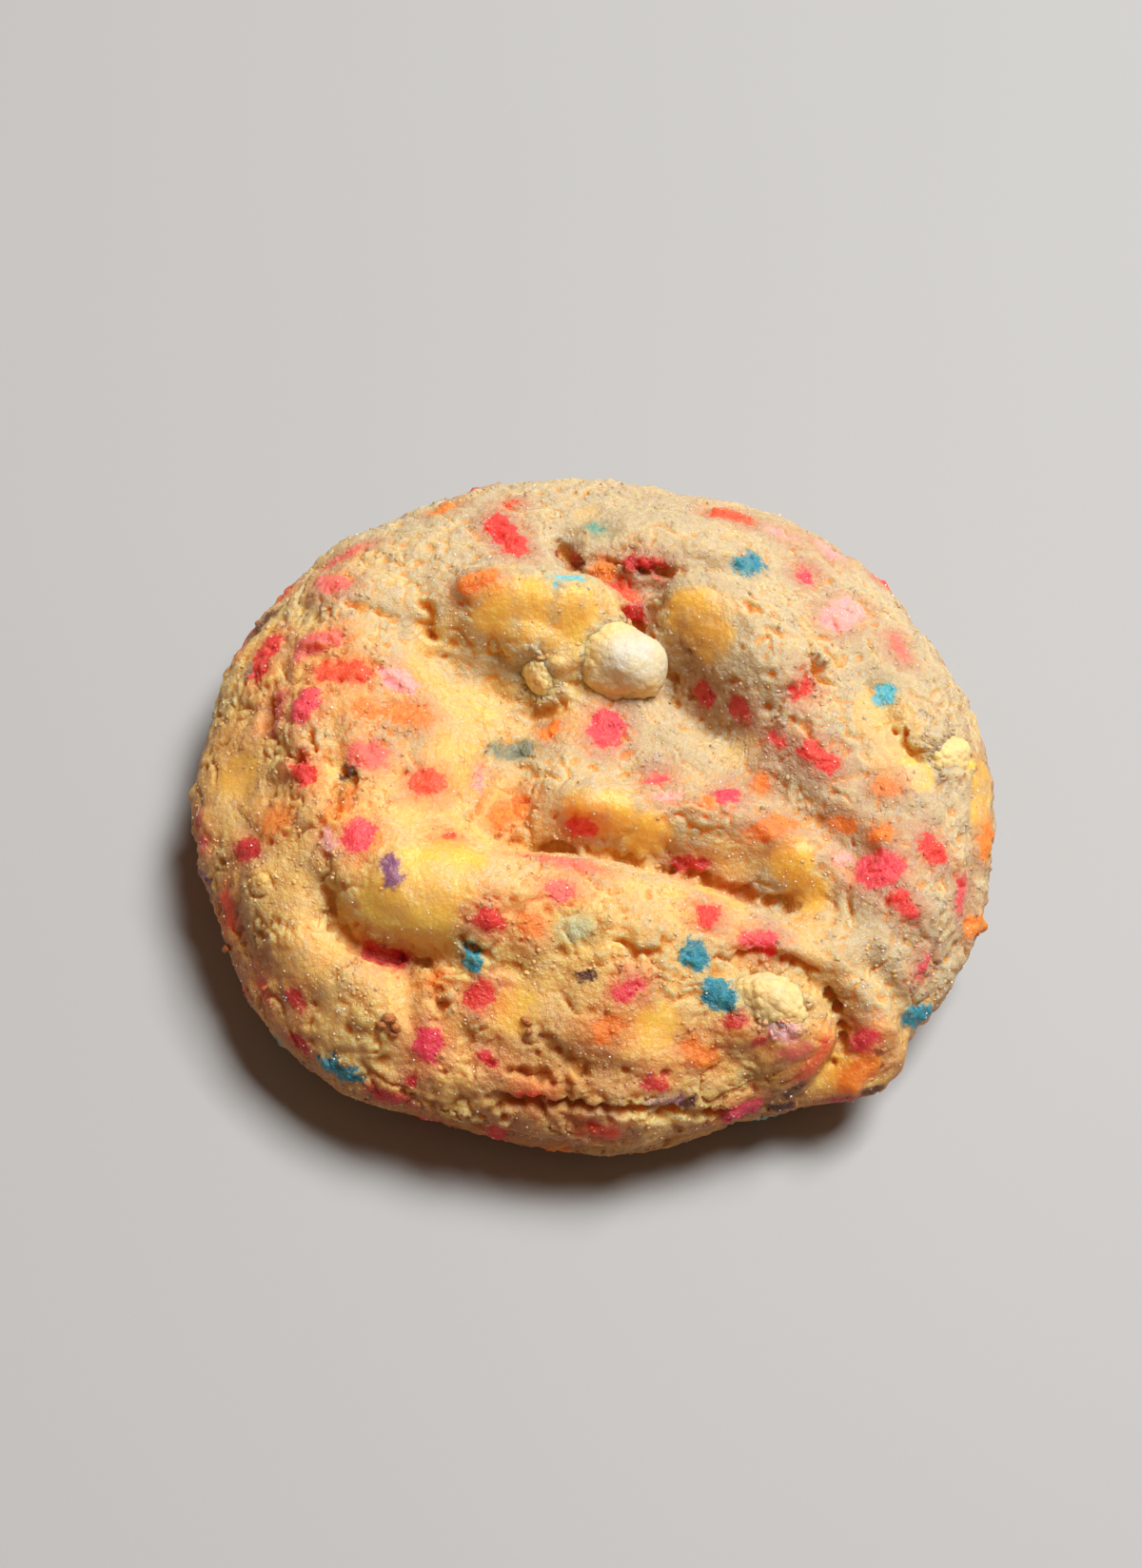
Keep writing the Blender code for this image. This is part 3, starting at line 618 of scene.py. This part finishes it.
strewn = {  # the rest lie round the flank, a golden angle apart
    "count": 40,
    "heights": (3.0, 12.5),
    "lengths": (2.4, 5.2),
    "widths": (1.6, 2.4),
    "clear": 4.5,
    "seed": 7,
    "colours": [
        "coral", "vermilion", "orange", "hotpink", "red", "palepink", "cyan", "orange", "crimson", "blue",
    ],
}
namedOnFlank = [(207, 11.5), (235, 10.5), (274, 10.5), (297, 9.5)]  # angle and height


def strewnPlaces():
    draw = random.Random(strewn["seed"])
    taken = list(namedOnFlank)
    places = []
    for i in range(strewn["count"]):
        angle = (i * 137.5 + draw.uniform(-8, 8)) % 360
        height = draw.uniform(*strewn["heights"])
        length = draw.uniform(*strewn["lengths"])
        width = draw.uniform(*strewn["widths"])
        slope = draw.uniform(0, 180)
        apart = [math.hypot(0.7 * ((angle - a + 180) % 360 - 180), height - h) for a, h in taken]
        if min(apart) > strewn["clear"]:
            taken.append((angle, height))
            turn, rise = math.radians(angle), math.radians(slope)
            outward = Vector((math.cos(turn), math.sin(turn), 0))
            along = Vector((
                -math.sin(turn) * math.cos(rise), math.cos(turn) * math.cos(rise), math.sin(rise),
            ))
            colour = strewn["colours"][len(places) % len(strewn["colours"])]
            places.append((colour, height, outward, along, length, width))
    return places


def placeSprinkles(skin):
    # every sprinkle as a short stretch on the skin: ends, half width, colour, blur
    found = []
    for colour, rows in sprinkles.items():
        for x, y, z, heading, length, width, blur in rows:
            where, normal = skin.find_nearest(Vector((x, y, z)) * mm)[:2]
            turn = math.radians(heading)
            along = Vector((math.cos(turn), math.sin(turn), 0))
            found.append((colour, where / mm, normal, along, length, width, blur))
    for colour, height, outward, along, length, width in strewnPlaces():
        start = Vector((skinCentre[0], skinCentre[1], height)) + outward * 70
        where, normal = skin.ray_cast(start * mm, -outward)[:2]
        found.append((colour, where / mm, normal, along, length, width, 0.25))
    placed = []
    for colour, where, normal, along, length, width, blur in found:
        flat = (along - normal * normal.dot(along)).normalized()
        reach = max(length - width, 0.2) / 2
        start, end = where - flat * reach, where + flat * reach
        placed.append((colour, np.array(start), np.array(end), width / 2, blur))
    return placed


skinTree = BVHTree.FromObject(baseDough, bpy.context.evaluated_depsgraph_get())
sprinklePlaces = placeSprinkles(skinTree)


coldDyes = {  # how far these dyes soak into the dough, where the warm ones reach 1
    "blue": 0.35, "cyan": 0.45, "teal": 0.55, "slate": 0.45, "violet": 0.45, "burnt": 0.3, "darkred": 0.6,
}


def nearestSprinkle(points):
    # distance to the nearest sprinkle's edge in mm, its colour, its blur and how far its dye soaks
    edge = np.full(len(points), 9.0)
    colour = np.zeros((len(points), 3))
    blurred = np.zeros(len(points))
    soaked = np.ones(len(points))
    for name, start, end, halfWidth, blur in sprinklePlaces:
        gap = gapToRoute(points, np.array([start, end])) - halfWidth
        closer = gap < edge
        edge[closer] = gap[closer]
        colour[closer] = sprinkleColours[name]
        blurred[closer] = blur
        soaked[closer] = coldDyes.get(name, 1.0)
    return edge, colour, blurred, soaked


def paint(obj, soft, crevice, brownedAndShaded, litPaleness=1.0):
    points = pointsOf(obj)
    edge, colour, blur, soaked = nearestSprinkle(points)
    storeNumbers(obj, "sprinkleEdge", edge)
    storeNumbers(obj, "sprinkleBlur", blur)
    storeNumbers(obj, "dyeSoaked", soaked)
    storeColours(obj, "sprinkleColour", colour)
    storeNumbers(obj, "goldenSkin", soft)
    storeNumbers(obj, "crevice", crevice)
    storeNumbers(obj, "brownedAndShaded", brownedAndShaded)
    # painted light: the crust is painted paler toward the back, the right and the top, the side the key
    # light comes from, with a broad drift
    drift = 9.0 * noiseAt(points, 14.0, 53.0) + 5.0 * noiseAt(points, 4.0, 51.0)
    towardKeySide = 0.6 * points[:, 0] + 0.9 * points[:, 1] + 0.9 * (points[:, 2] - 18)
    storeNumbers(obj, "litSidePale", litPaleness * smoothStep(towardKeySide + drift, -26, 16))


paint(baseDough, softSkin, creviceDepth, browningAndShade)
print("sprinkles placed:", len(sprinklePlaces))

# Crumb: small lumps of dough half sunk in the surface, and loose ones

crumbShape = {
    "count": 6000,
    "sizes": (0.14, 0.40),  # radius in mm
    "litPaleShare": 0.5,  # share of the crust's painted light paleness that a lump keeps
    "rimDraws": 14000,
    "rimSizes": (0.2, 0.55),
    "loose": [
        (-17.9, -32.0, 16.6, 0.75), (-17.0, -32.6, 16.2, 0.6), (-18.6, -32.6, 15.8, 0.55),
        (-17.4, -33.4, 15.4, 0.5), (-4.4, -30.9, 17.6, 0.7), (-4.0, -31.6, 17.0, 0.5),
        (-37.5, -24.5, 9.0, 0.6), (-31.5, -28.5, 12.0, 0.5),
    ],
    "seed": 11,
}


def pickPlaces(obj, count, seed, wanted):
    # places spread over the skin by area, kept where the wanted function allows
    draw = np.random.default_rng(seed)
    mesh = obj.data
    mesh.calc_loop_triangles()
    corners = np.empty(len(mesh.loop_triangles) * 3, np.int32)
    mesh.loop_triangles.foreach_get("vertices", corners)
    corners = corners.reshape(-1, 3)
    points = pointsOf(obj)
    normals = normalsOf(obj)
    a, b, c = points[corners[:, 0]], points[corners[:, 1]], points[corners[:, 2]]
    area = np.linalg.norm(np.cross(b - a, c - a), axis=1)
    chosen = draw.choice(len(corners), size=count * 4, p=area / area.sum())
    u, v = draw.random(len(chosen)), draw.random(len(chosen))
    over = u + v > 1
    u[over], v[over] = 1 - u[over], 1 - v[over]
    places = a[chosen] + u[:, None] * (b - a)[chosen] + v[:, None] * (c - a)[chosen]
    outward = normals[corners[chosen, 0]]
    keep = np.nonzero(draw.random(len(chosen)) < wanted(places))[0][:count]
    return places[keep], outward[keep], corners[chosen[keep], 0]


def roundLump(subdivisions):
    deselectAll()
    bpy.ops.mesh.primitive_ico_sphere_add(subdivisions=subdivisions, radius=1.0)
    ball = bpy.context.object
    corners = np.array([v.co for v in ball.data.vertices])
    faces = np.array([list(p.vertices) for p in ball.data.polygons])
    bpy.data.objects.remove(ball)
    return corners, faces


def strewLumps(name, corners, faces, places, outward, sizes, sink, flatten, seed):
    # one joined mesh of many uneven copies
    draw = np.random.default_rng(seed)
    count = len(places)
    turns = draw.normal(size=(count, 3, 3))
    axes = np.linalg.qr(turns)[0]
    stretch = draw.uniform(flatten, 1.25, size=(count, 1, 3))
    bumps = draw.uniform(0.82, 1.15, size=(count, len(corners), 1))
    shaped = np.einsum("nij,nkj->nki", axes, corners[None] * stretch * bumps) * sizes[:, None, None]
    shaped += (places - outward * (sizes * sink)[:, None])[:, None, :]
    joined = (faces[None] + (np.arange(count) * len(corners))[:, None, None]).reshape(-1, 3)
    mesh = bpy.data.meshes.new(name)
    mesh.from_pydata((shaped.reshape(-1, 3) * mm).tolist(), [], joined.tolist())
    obj = bpy.data.objects.new(name, mesh)
    bpy.context.scene.collection.objects.link(obj)
    pickOnly(obj)
    bpy.ops.object.mode_set(mode="EDIT")
    bpy.ops.mesh.select_all(action="SELECT")
    bpy.ops.mesh.normals_make_consistent(inside=False)
    bpy.ops.object.mode_set(mode="OBJECT")
    bpy.ops.object.shade_smooth()
    return obj


def crumbWanted(places):
    clumps = smoothStep(noiseAt(places, 3.2, 61.0), -0.35, 0.35)
    return clumps * (1 - 0.9 * smoothness(places)) * (places[:, 2] > 1.2)


places, outward, source = pickPlaces(baseDough, crumbShape["count"], crumbShape["seed"], crumbWanted)
lumpDraw = np.random.default_rng(crumbShape["seed"] + 1)
smallest, largest = crumbShape["sizes"]
lumpSizes = smallest + (largest - smallest) * lumpDraw.random(len(places)) ** 2
for x, y, z, size in crumbShape["loose"]:
    where, normal = skinTree.find_nearest(Vector((x, y, z)) * mm)[:2]
    places = np.vstack([places, np.array(where / mm) + np.array(normal) * size * 0.6])
    outward = np.vstack([outward, np.array(normal)])
    lumpSizes = np.append(lumpSizes, size)
    source = np.append(source, 0)


def rimWanted(places):
    gap = chipGap(places)[0]
    return (gap > -0.3) * (gap < 1.0) * 0.3


# more of them where the dough laps over a chip's edge
rim = pickPlaces(baseDough, crumbShape["rimDraws"], crumbShape["seed"] + 2, rimWanted)
places, outward, source = [np.concatenate(pair) for pair in zip((places, outward, source), rim)]
lumpSizes = np.append(lumpSizes, lumpDraw.uniform(*crumbShape["rimSizes"], size=len(rim[0])))
ballCorners, ballFaces = roundLump(1)
crumbs = strewLumps(
    "crumbLumps", ballCorners, ballFaces, places, outward, lumpSizes, sink=0.45, flatten=0.6, seed=12
)
inLump = np.repeat(source, len(ballCorners))
# the lumps carry the dough's painted shade in hollows, its browning and painted flank shade, and part of its
# painted light paleness
paint(crumbs, 0.5 * softSkin[inLump], 0.8 * creviceDepth[inLump], browningAndShade[inLump], crumbShape["litPaleShare"])
print("crumb strewn:", len(places))

# Sugar: fine grains on the crust

sugarShape = {"count": 1800, "sizes": (0.04, 0.09), "seed": 23}


def sugarWanted(places):
    return (0.35 + 0.65 * smoothStep(noiseAt(places, 5.0, 71.0), -0.3, 0.4)) * (places[:, 2] > 1.5)


grainCorners = np.array([(x, y, z) for x in (-1, 1) for y in (-1, 1) for z in (-1, 1)], float)
grainFaces = np.array([
    (0, 1, 3), (0, 3, 2), (4, 6, 7), (4, 7, 5), (0, 4, 5), (0, 5, 1),
    (2, 3, 7), (2, 7, 6), (0, 2, 6), (0, 6, 4), (1, 5, 7), (1, 7, 3),
])
places, outward = pickPlaces(baseDough, sugarShape["count"], sugarShape["seed"], sugarWanted)[:2]
grainDraw = np.random.default_rng(sugarShape["seed"] + 1)
grainSizes = grainDraw.uniform(*sugarShape["sizes"], size=len(places))
sugar = strewLumps(
    "sugarGrains", grainCorners, grainFaces, places, outward, grainSizes, sink=0.0, flatten=0.7, seed=24
)
sugar.data.shade_flat()
print("sugar strewn:", len(places))

# White chocolate chips, bedded in the dough

chipShape = {
    "grown": {  # mm added all round, so that they bed into the dough
        "white_chip_centre": 0.3, "white_chip_left": -0.5, "white_chip_rim": 0.1, "white_chip_front": 0.0,
    },
    "uneven": 0.5,
    "dimples": 0.12,
    "grains": (0.8, 0.2),  # size and height of the crumbly grain near its edge
    "bare": {  # how much of the chip is free of the dough's film
        "white_chip_centre": 1.0, "white_chip_left": 0.6, "white_chip_rim": 0.8, "white_chip_front": 0.7,
    },
}


def shapeChip(node, name):
    chip = copyOfNode(node, name)
    applyModifier(chip, "SUBSURF", levels=3, render_levels=3)
    points, normals = pointsOf(chip), normalsOf(chip)
    buried = np.array([skinTree.find_nearest(Vector(p) * mm)[3] / mm for p in points])
    size, height = chipShape["grains"]
    near, _, draw = cellsAt(points, size, 83.0)
    nearEdge = 1 - 0.75 * smoothStep(buried, 0.8, 3.0)
    grains = height * (0.5 - 1.7 * near**2 + 0.6 * (draw - 0.5)) * nearEdge
    uneven = chipShape["uneven"] * noiseAt(points, 3.2, 81.0)
    uneven += chipShape["dimples"] * noiseAt(points, 1.1, 82.0)
    movePoints(chip, points + normals * (chipShape["grown"][node] + uneven + grains)[:, None])
    bpy.ops.object.shade_smooth()
    storeNumbers(chip, "clearOfDough", buried * chipShape["bare"][node])
    return chip


chips = {node: shapeChip(node, name) for node, name in chipNodes.items()}
print("chips bedded")

# Materials


def addNode(tree, kind, **settings):
    node = tree.nodes.new(kind)
    for name, value in settings.items():
        setattr(node, name, value)
    return node


def feed(tree, target, source):
    if isinstance(source, bpy.types.NodeSocket):
        tree.links.new(source, target)
    elif source is not None:
        target.default_value = source


def mathOf(tree, operation, a, b=None, c=None):
    node = addNode(tree, "ShaderNodeMath", operation=operation)
    for socket, source in zip(node.inputs, (a, b, c)):
        feed(tree, socket, source)
    return node.outputs[0]


def timesOf(tree, a, b):
    return mathOf(tree, "MULTIPLY", a, b)


def rangeOf(tree, value, low, high, toLow=0.0, toHigh=1.0):
    node = addNode(tree, "ShaderNodeMapRange", interpolation_type="SMOOTHSTEP")
    for socket, source in zip(node.inputs, (value, low, high, toLow, toHigh)):
        feed(tree, socket, source)
    return node.outputs[0]


def mixOf(tree, factor, a, b, blend="MIX"):
    node = addNode(tree, "ShaderNodeMix", data_type="RGBA", blend_type=blend)
    feed(tree, node.inputs[0], factor)
    feed(tree, node.inputs[6], (*a, 1) if isinstance(a, tuple) else a)
    feed(tree, node.inputs[7], (*b, 1) if isinstance(b, tuple) else b)
    return node.outputs[2]


def noiseOf(tree, place, scale, detail=2.0, roughness=0.5):
    node = addNode(tree, "ShaderNodeTexNoise")
    feed(tree, node.inputs["Vector"], place)
    feed(tree, node.inputs["Scale"], scale)
    node.inputs["Detail"].default_value = detail
    node.inputs["Roughness"].default_value = roughness
    return node.outputs["Fac"]


def cellsOf(tree, place, scale, feature="F1"):
    node = addNode(tree, "ShaderNodeTexVoronoi", feature=feature)
    feed(tree, node.inputs["Vector"], place)
    feed(tree, node.inputs["Scale"], scale)
    return node


def attributeOf(tree, name, output="Fac"):
    return addNode(tree, "ShaderNodeAttribute", attribute_name=name).outputs[output]


def newMaterial(name):
    material = bpy.data.materials.new(name)
    material.use_nodes = True
    return material, material.node_tree, material.node_tree.nodes["Principled BSDF"]


def placeOf(tree):
    return addNode(tree, "ShaderNodeTexCoord").outputs["Object"]


def setGlow(shader, finish, weight):
    # how far light spreads below the surface, and how strongly the surface shines
    shader.inputs["Subsurface Weight"].default_value = weight
    shader.inputs["Subsurface Radius"].default_value = finish["glowRadius"]
    shader.inputs["Subsurface Scale"].default_value = finish["glowScale"]
    shader.inputs["Specular IOR Level"].default_value = finish["shine"]


def grainGroup():
    # fine sandy grain of baked sugar dough: its height, its bright sugar specks and its mottling
    group = bpy.data.node_groups.new("sandyGrain", "ShaderNodeTree")
    group.interface.new_socket("Grain Scale", in_out="INPUT", socket_type="NodeSocketFloat")
    group.interface.new_socket("Height", in_out="OUTPUT", socket_type="NodeSocketFloat")
    group.interface.new_socket("Specks", in_out="OUTPUT", socket_type="NodeSocketFloat")
    group.interface.new_socket("Mottle", in_out="OUTPUT", socket_type="NodeSocketFloat")
    start = group.nodes.new("NodeGroupInput")
    end = group.nodes.new("NodeGroupOutput")
    place = placeOf(group)
    scale = start.outputs["Grain Scale"]
    warp = addNode(group, "ShaderNodeTexNoise")
    feed(group, warp.inputs["Vector"], place)
    feed(group, warp.inputs["Scale"], timesOf(group, scale, 0.35))
    shifted = addNode(group, "ShaderNodeVectorMath", operation="MULTIPLY_ADD")
    feed(group, shifted.inputs[0], warp.outputs["Color"])
    shifted.inputs[1].default_value = (0.0004, 0.0004, 0.0004)
    feed(group, shifted.inputs[2], place)
    warped = shifted.outputs[0]
    coarse = cellsOf(group, warped, timesOf(group, scale, 0.42))
    fine = cellsOf(group, warped, scale)
    sand = noiseOf(group, place, timesOf(group, scale, 2.1), 3.0, 0.6)
    height = mathOf(group, "MULTIPLY_ADD", coarse.outputs["Distance"], -0.9, 0.9)
    height = mathOf(group, "SUBTRACT", height, timesOf(group, fine.outputs["Distance"], 0.45))
    height = mathOf(group, "ADD", height, timesOf(group, sand, 0.35))
    feed(group, end.inputs["Height"], height)
    dots = cellsOf(group, place, timesOf(group, scale, 0.8))
    split = addNode(group, "ShaderNodeSeparateColor")
    feed(group, split.inputs[0], dots.outputs["Color"])
    rare = rangeOf(group, split.outputs[0], 0.80, 0.86)
    small = rangeOf(group, dots.outputs["Distance"], 0.30, 0.12)
    feed(group, end.inputs["Specks"], timesOf(group, rare, small))
    feed(group, end.inputs["Mottle"], noiseOf(group, place, timesOf(group, scale, 0.12), 4.0, 0.6))
    return group


sandyGrain = grainGroup()


def useGrain(tree, scale):
    node = addNode(tree, "ShaderNodeGroup", node_tree=sandyGrain)
    node.inputs["Grain Scale"].default_value = scale
    return node


def bumpOf(tree, height, strength, distance):
    node = addNode(tree, "ShaderNodeBump")
    node.inputs["Strength"].default_value = strength
    node.inputs["Distance"].default_value = distance
    feed(tree, node.inputs["Height"], height)
    return node.outputs["Normal"]


doughFinish = {
    "pale": (0.635, 0.57, 0.455),
    "mid": (0.94, 0.66, 0.27),
    "hollowShadeGold": (0.86, 0.51, 0.13),
    "skin": (0.98, 0.68, 0.16),
    "brownAndShade": (0.47, 0.145, 0.016),
    "between": (0.95, 0.76, 0.42),  # painted shade, multiplied in where the grain lies low
    "sugar": (0.97, 0.90, 0.72),
    "grain": 4300.0,
    "rough": (0.53, 0.28),  # on the dough and on its sugar specks
    "glowRadius": (1.0, 0.68, 0.2),
    "glowScale": 0.0026,
    "shine": 0.65,
    "bump": (1.0, 0.0002),
    "ragged": (3.6, -0.2),  # how far a sprinkle's edge wanders and its shift, in mm
    "edgeWidth": (0.8, 0.14),  # in mm for each share of blur, and without any
    "halo": (3.0, 0.7),  # how far the dye soaks in mm, and how strongly
}


def doughMaterial(name, glow):
    material, tree, shader = newMaterial(name)
    grain = useGrain(tree, doughFinish["grain"])
    place = placeOf(tree)
    broad = noiseOf(tree, place, 95.0, 3.0, 0.55)
    patch = noiseOf(tree, place, 320.0, 3.0, 0.6)
    crevice = attributeOf(tree, "crevice")
    skin = attributeOf(tree, "goldenSkin")
    brownedAndShaded = attributeOf(tree, "brownedAndShaded")
    litSidePale = attributeOf(tree, "litSidePale")
    # painted light and shade: paler toward the key light's side and on crests, the mid colour in hollows,
    # with random broad clouds
    litCrestsAndClouds = mathOf(tree, "ADD", litSidePale, timesOf(tree, mathOf(tree, "SUBTRACT", broad, 0.5), 1.3))
    litCrestsAndClouds = mathOf(tree, "ADD", litCrestsAndClouds, timesOf(tree, mathOf(tree, "SUBTRACT", 0.42, crevice), 0.9))
    colour = mixOf(tree, rangeOf(tree, litCrestsAndClouds, 0.05, 0.85), doughFinish["mid"], doughFinish["pale"])
    colour = mixOf(tree, rangeOf(tree, patch, 0.58, 0.30, 0.0, 0.4), colour, doughFinish["pale"])
    # painted shade: hollows and cracks are painted a darker gold
    colour = mixOf(tree, rangeOf(tree, crevice, 0.45, 0.95, 0.0, 0.8), colour, doughFinish["hollowShadeGold"])
    golden = timesOf(tree, rangeOf(tree, skin, 0.2, 0.95), rangeOf(tree, patch, 0.28, 0.6, 0.35, 1.0))
    colour = mixOf(tree, golden, colour, doughFinish["skin"])
    # real browning at the foot, and painted shade on the steep flank and on the named patches
    colour = mixOf(tree, timesOf(tree, brownedAndShaded, 0.9), colour, doughFinish["brownAndShade"])

    # sprinkles: ragged patches of colour, with some of it soaked into the dough around
    edge = attributeOf(tree, "sprinkleEdge")
    blur = attributeOf(tree, "sprinkleBlur")
    tint = attributeOf(tree, "sprinkleColour", "Color")
    ragged = mathOf(tree, "SUBTRACT", noiseOf(tree, place, 800.0, 5.0, 0.75), 0.5)
    edge = mathOf(tree, "ADD", edge, mathOf(tree, "MULTIPLY_ADD", ragged, *doughFinish["ragged"]))
    width = mathOf(tree, "MULTIPLY_ADD", blur, *doughFinish["edgeWidth"])
    solid = rangeOf(tree, edge, width, timesOf(tree, width, -1.0))
    solid = timesOf(tree, solid, rangeOf(tree, blur, 0.3, 0.9, 1.0, 0.7))
    soaked = attributeOf(tree, "dyeSoaked")
    reach, strength = [timesOf(tree, soaked, share) for share in doughFinish["halo"]]
    halo = rangeOf(tree, edge, reach, -0.2, 0.0, strength)
    dusted = timesOf(tree, solid, rangeOf(tree, grain.outputs["Mottle"], 0.30, 0.55, 0.8, 1.0))
    dusted = timesOf(tree, dusted, rangeOf(tree, grain.outputs["Height"], 1.0, 0.6, 0.62, 1.0))
    colour = mixOf(tree, halo, colour, mixOf(tree, 0.6, colour, tint, "MULTIPLY"))
    # painted shade: the grain's low points are multiplied darker
    low = rangeOf(tree, grain.outputs["Height"], 0.95, 0.35, 0.0, 0.75)
    colour = mixOf(tree, low, colour, mixOf(tree, 1.0, colour, doughFinish["between"], "MULTIPLY"))
    colour = mixOf(tree, dusted, colour, tint)
    colour = mixOf(tree, timesOf(tree, grain.outputs["Specks"], 0.3), colour, doughFinish["sugar"])
    feed(tree, shader.inputs["Base Color"], colour)
    rough = rangeOf(tree, grain.outputs["Specks"], 0.0, 1.0, *doughFinish["rough"])
    rough = mathOf(tree, "SUBTRACT", rough, timesOf(tree, skin, 0.08))
    feed(tree, shader.inputs["Roughness"], rough)
    setGlow(shader, doughFinish, glow)
    height = timesOf(tree, grain.outputs["Height"], rangeOf(tree, skin, 0.2, 1.0, 1.0, 0.45))
    feed(tree, shader.inputs["Normal"], bumpOf(tree, height, *doughFinish["bump"]))
    return material


chipFinish = {
    "pale": (0.68, 0.64, 0.52),
    "warm": (0.72, 0.62, 0.38),
    "film": (0.84, 0.62, 0.26),
    "grain": 3600.0,
    "rough": (0.38, 0.58),
    "glow": 0.8,
    "glowRadius": (1.0, 0.75, 0.4),
    "glowScale": 0.0016,
    "shine": 0.35,
    "bump": (0.8, 0.00014),
}


def chipMaterial():
    material, tree, shader = newMaterial("whiteChocolate")
    grain = useGrain(tree, chipFinish["grain"])
    place = placeOf(tree)
    broad = noiseOf(tree, place, 420.0, 4.0, 0.7)
    colour = mixOf(tree, rangeOf(tree, broad, 0.35, 0.7), chipFinish["pale"], chipFinish["warm"])
    clear = attributeOf(tree, "clearOfDough")
    clear = mathOf(tree, "ADD", clear, timesOf(tree, mathOf(tree, "SUBTRACT", broad, 0.5), 5.0))
    colour = mixOf(tree, rangeOf(tree, clear, 3.2, 0.6, 0.0, 0.95), colour, chipFinish["film"])
    feed(tree, shader.inputs["Base Color"], colour)
    rough = rangeOf(tree, grain.outputs["Mottle"], 0.2, 0.8, *chipFinish["rough"])
    feed(tree, shader.inputs["Roughness"], rough)
    setGlow(shader, chipFinish, chipFinish["glow"])
    feed(tree, shader.inputs["Normal"], bumpOf(tree, grain.outputs["Height"], *chipFinish["bump"]))
    return material


sugarFinish = {
    "clear": (0.95, 0.86, 0.66),
    "bright": (0.98, 0.94, 0.86),
    "rough": (0.3, 0.5),
    "glow": 0.5,
    "glowRadius": (1.0, 0.9, 0.7),
    "glowScale": 0.0004,
    "shine": 0.5,
}


def sugarMaterial():
    material, tree, shader = newMaterial("sugarGrain")
    place = placeOf(tree)
    cloud = noiseOf(tree, place, 1500.0, 2.0, 0.5)
    colour = mixOf(tree, cloud, sugarFinish["clear"], sugarFinish["bright"])
    feed(tree, shader.inputs["Base Color"], colour)
    feed(tree, shader.inputs["Roughness"], rangeOf(tree, cloud, 0.3, 0.7, *sugarFinish["rough"]))
    setGlow(shader, sugarFinish, sugarFinish["glow"])
    return material


bakedSugarDough = doughMaterial("bakedSugarDough", 1.0)
looseCrumb = doughMaterial("looseCrumb", 0.05)  # too small for light to spread far in it
whiteChocolate = chipMaterial()
sugarGrain = sugarMaterial()
baseDough.data.materials.clear()
baseDough.data.materials.append(bakedSugarDough)
crumbs.data.materials.append(looseCrumb)
sugar.data.materials.append(sugarGrain)
for chip in chips.values():
    chip.data.materials.append(whiteChocolate)
print("materials made")

rideRoot(baseDough, "baked_dough", "dough")
rideRoot(crumbs, "baked_dough")
rideRoot(sugar, "baked_dough")
for node, chip in chips.items():
    rideRoot(chip, "white_chocolate", node)

# Floor, light and background

stageLook = {
    "floor": (0.385, 0.395, 0.395),
    "keyAngle": 49.0,
    "keyHeight": 63.0,
    "keyDistance": 1.5,
    "keyEnergy": 33.5,
    "keySize": 0.6,
    "keyColour": (1.0, 0.995, 0.985),
    "sky": (1.0, 0.58, 0.37),
    "skyStrength": 0.155,
    "backdrop": (3.6, 3.55, 3.5),  # what is seen beyond the floor, in shares of the sky's strength
    "floorSize": 9.0,
    "floorDrop": 0.00005,
    "floorCloud": 1.03,  # how much lighter its pale clouds are
    "floorRough": 0.65,
}


def addStage():
    deselectAll()
    bpy.ops.mesh.primitive_plane_add(size=stageLook["floorSize"], location=(0, 0, -stageLook["floorDrop"]))
    floor = bpy.context.object
    floor.name = "paleFloor"
    material, tree, shader = newMaterial("paleFloor")
    place = placeOf(tree)
    cloud = noiseOf(tree, place, 12.0, 2.0, 0.5)
    light = tuple(c * stageLook["floorCloud"] for c in stageLook["floor"])
    feed(tree, shader.inputs["Base Color"], mixOf(tree, cloud, stageLook["floor"], light))
    shader.inputs["Roughness"].default_value = stageLook["floorRough"]
    floor.data.materials.append(material)

    turn, rise = math.radians(stageLook["keyAngle"]), math.radians(stageLook["keyHeight"])
    toward = Vector((math.cos(turn) * math.cos(rise), math.sin(turn) * math.cos(rise), math.sin(rise)))
    key = bpy.data.lights.new("softKey", "AREA")
    key.energy = stageLook["keyEnergy"]
    key.size = stageLook["keySize"]
    key.color = stageLook["keyColour"]
    keyObject = bpy.data.objects.new("softKey", key)
    bpy.context.scene.collection.objects.link(keyObject)
    keyObject.location = toward * stageLook["keyDistance"]
    keyObject.rotation_euler = toward.to_track_quat("Z", "Y").to_euler()

    world = bpy.data.worlds.new("softSky")
    world.use_nodes = True
    tree = world.node_tree
    background = tree.nodes["Background"]
    seen = addNode(tree, "ShaderNodeLightPath").outputs["Is Camera Ray"]
    feed(tree, background.inputs["Color"], mixOf(tree, seen, stageLook["sky"], stageLook["backdrop"]))
    background.inputs["Strength"].default_value = stageLook["skyStrength"]
    bpy.context.scene.world = world
    bpy.context.scene.view_settings.view_transform = "Standard"


addStage()
deselectAll()
print("stage set")
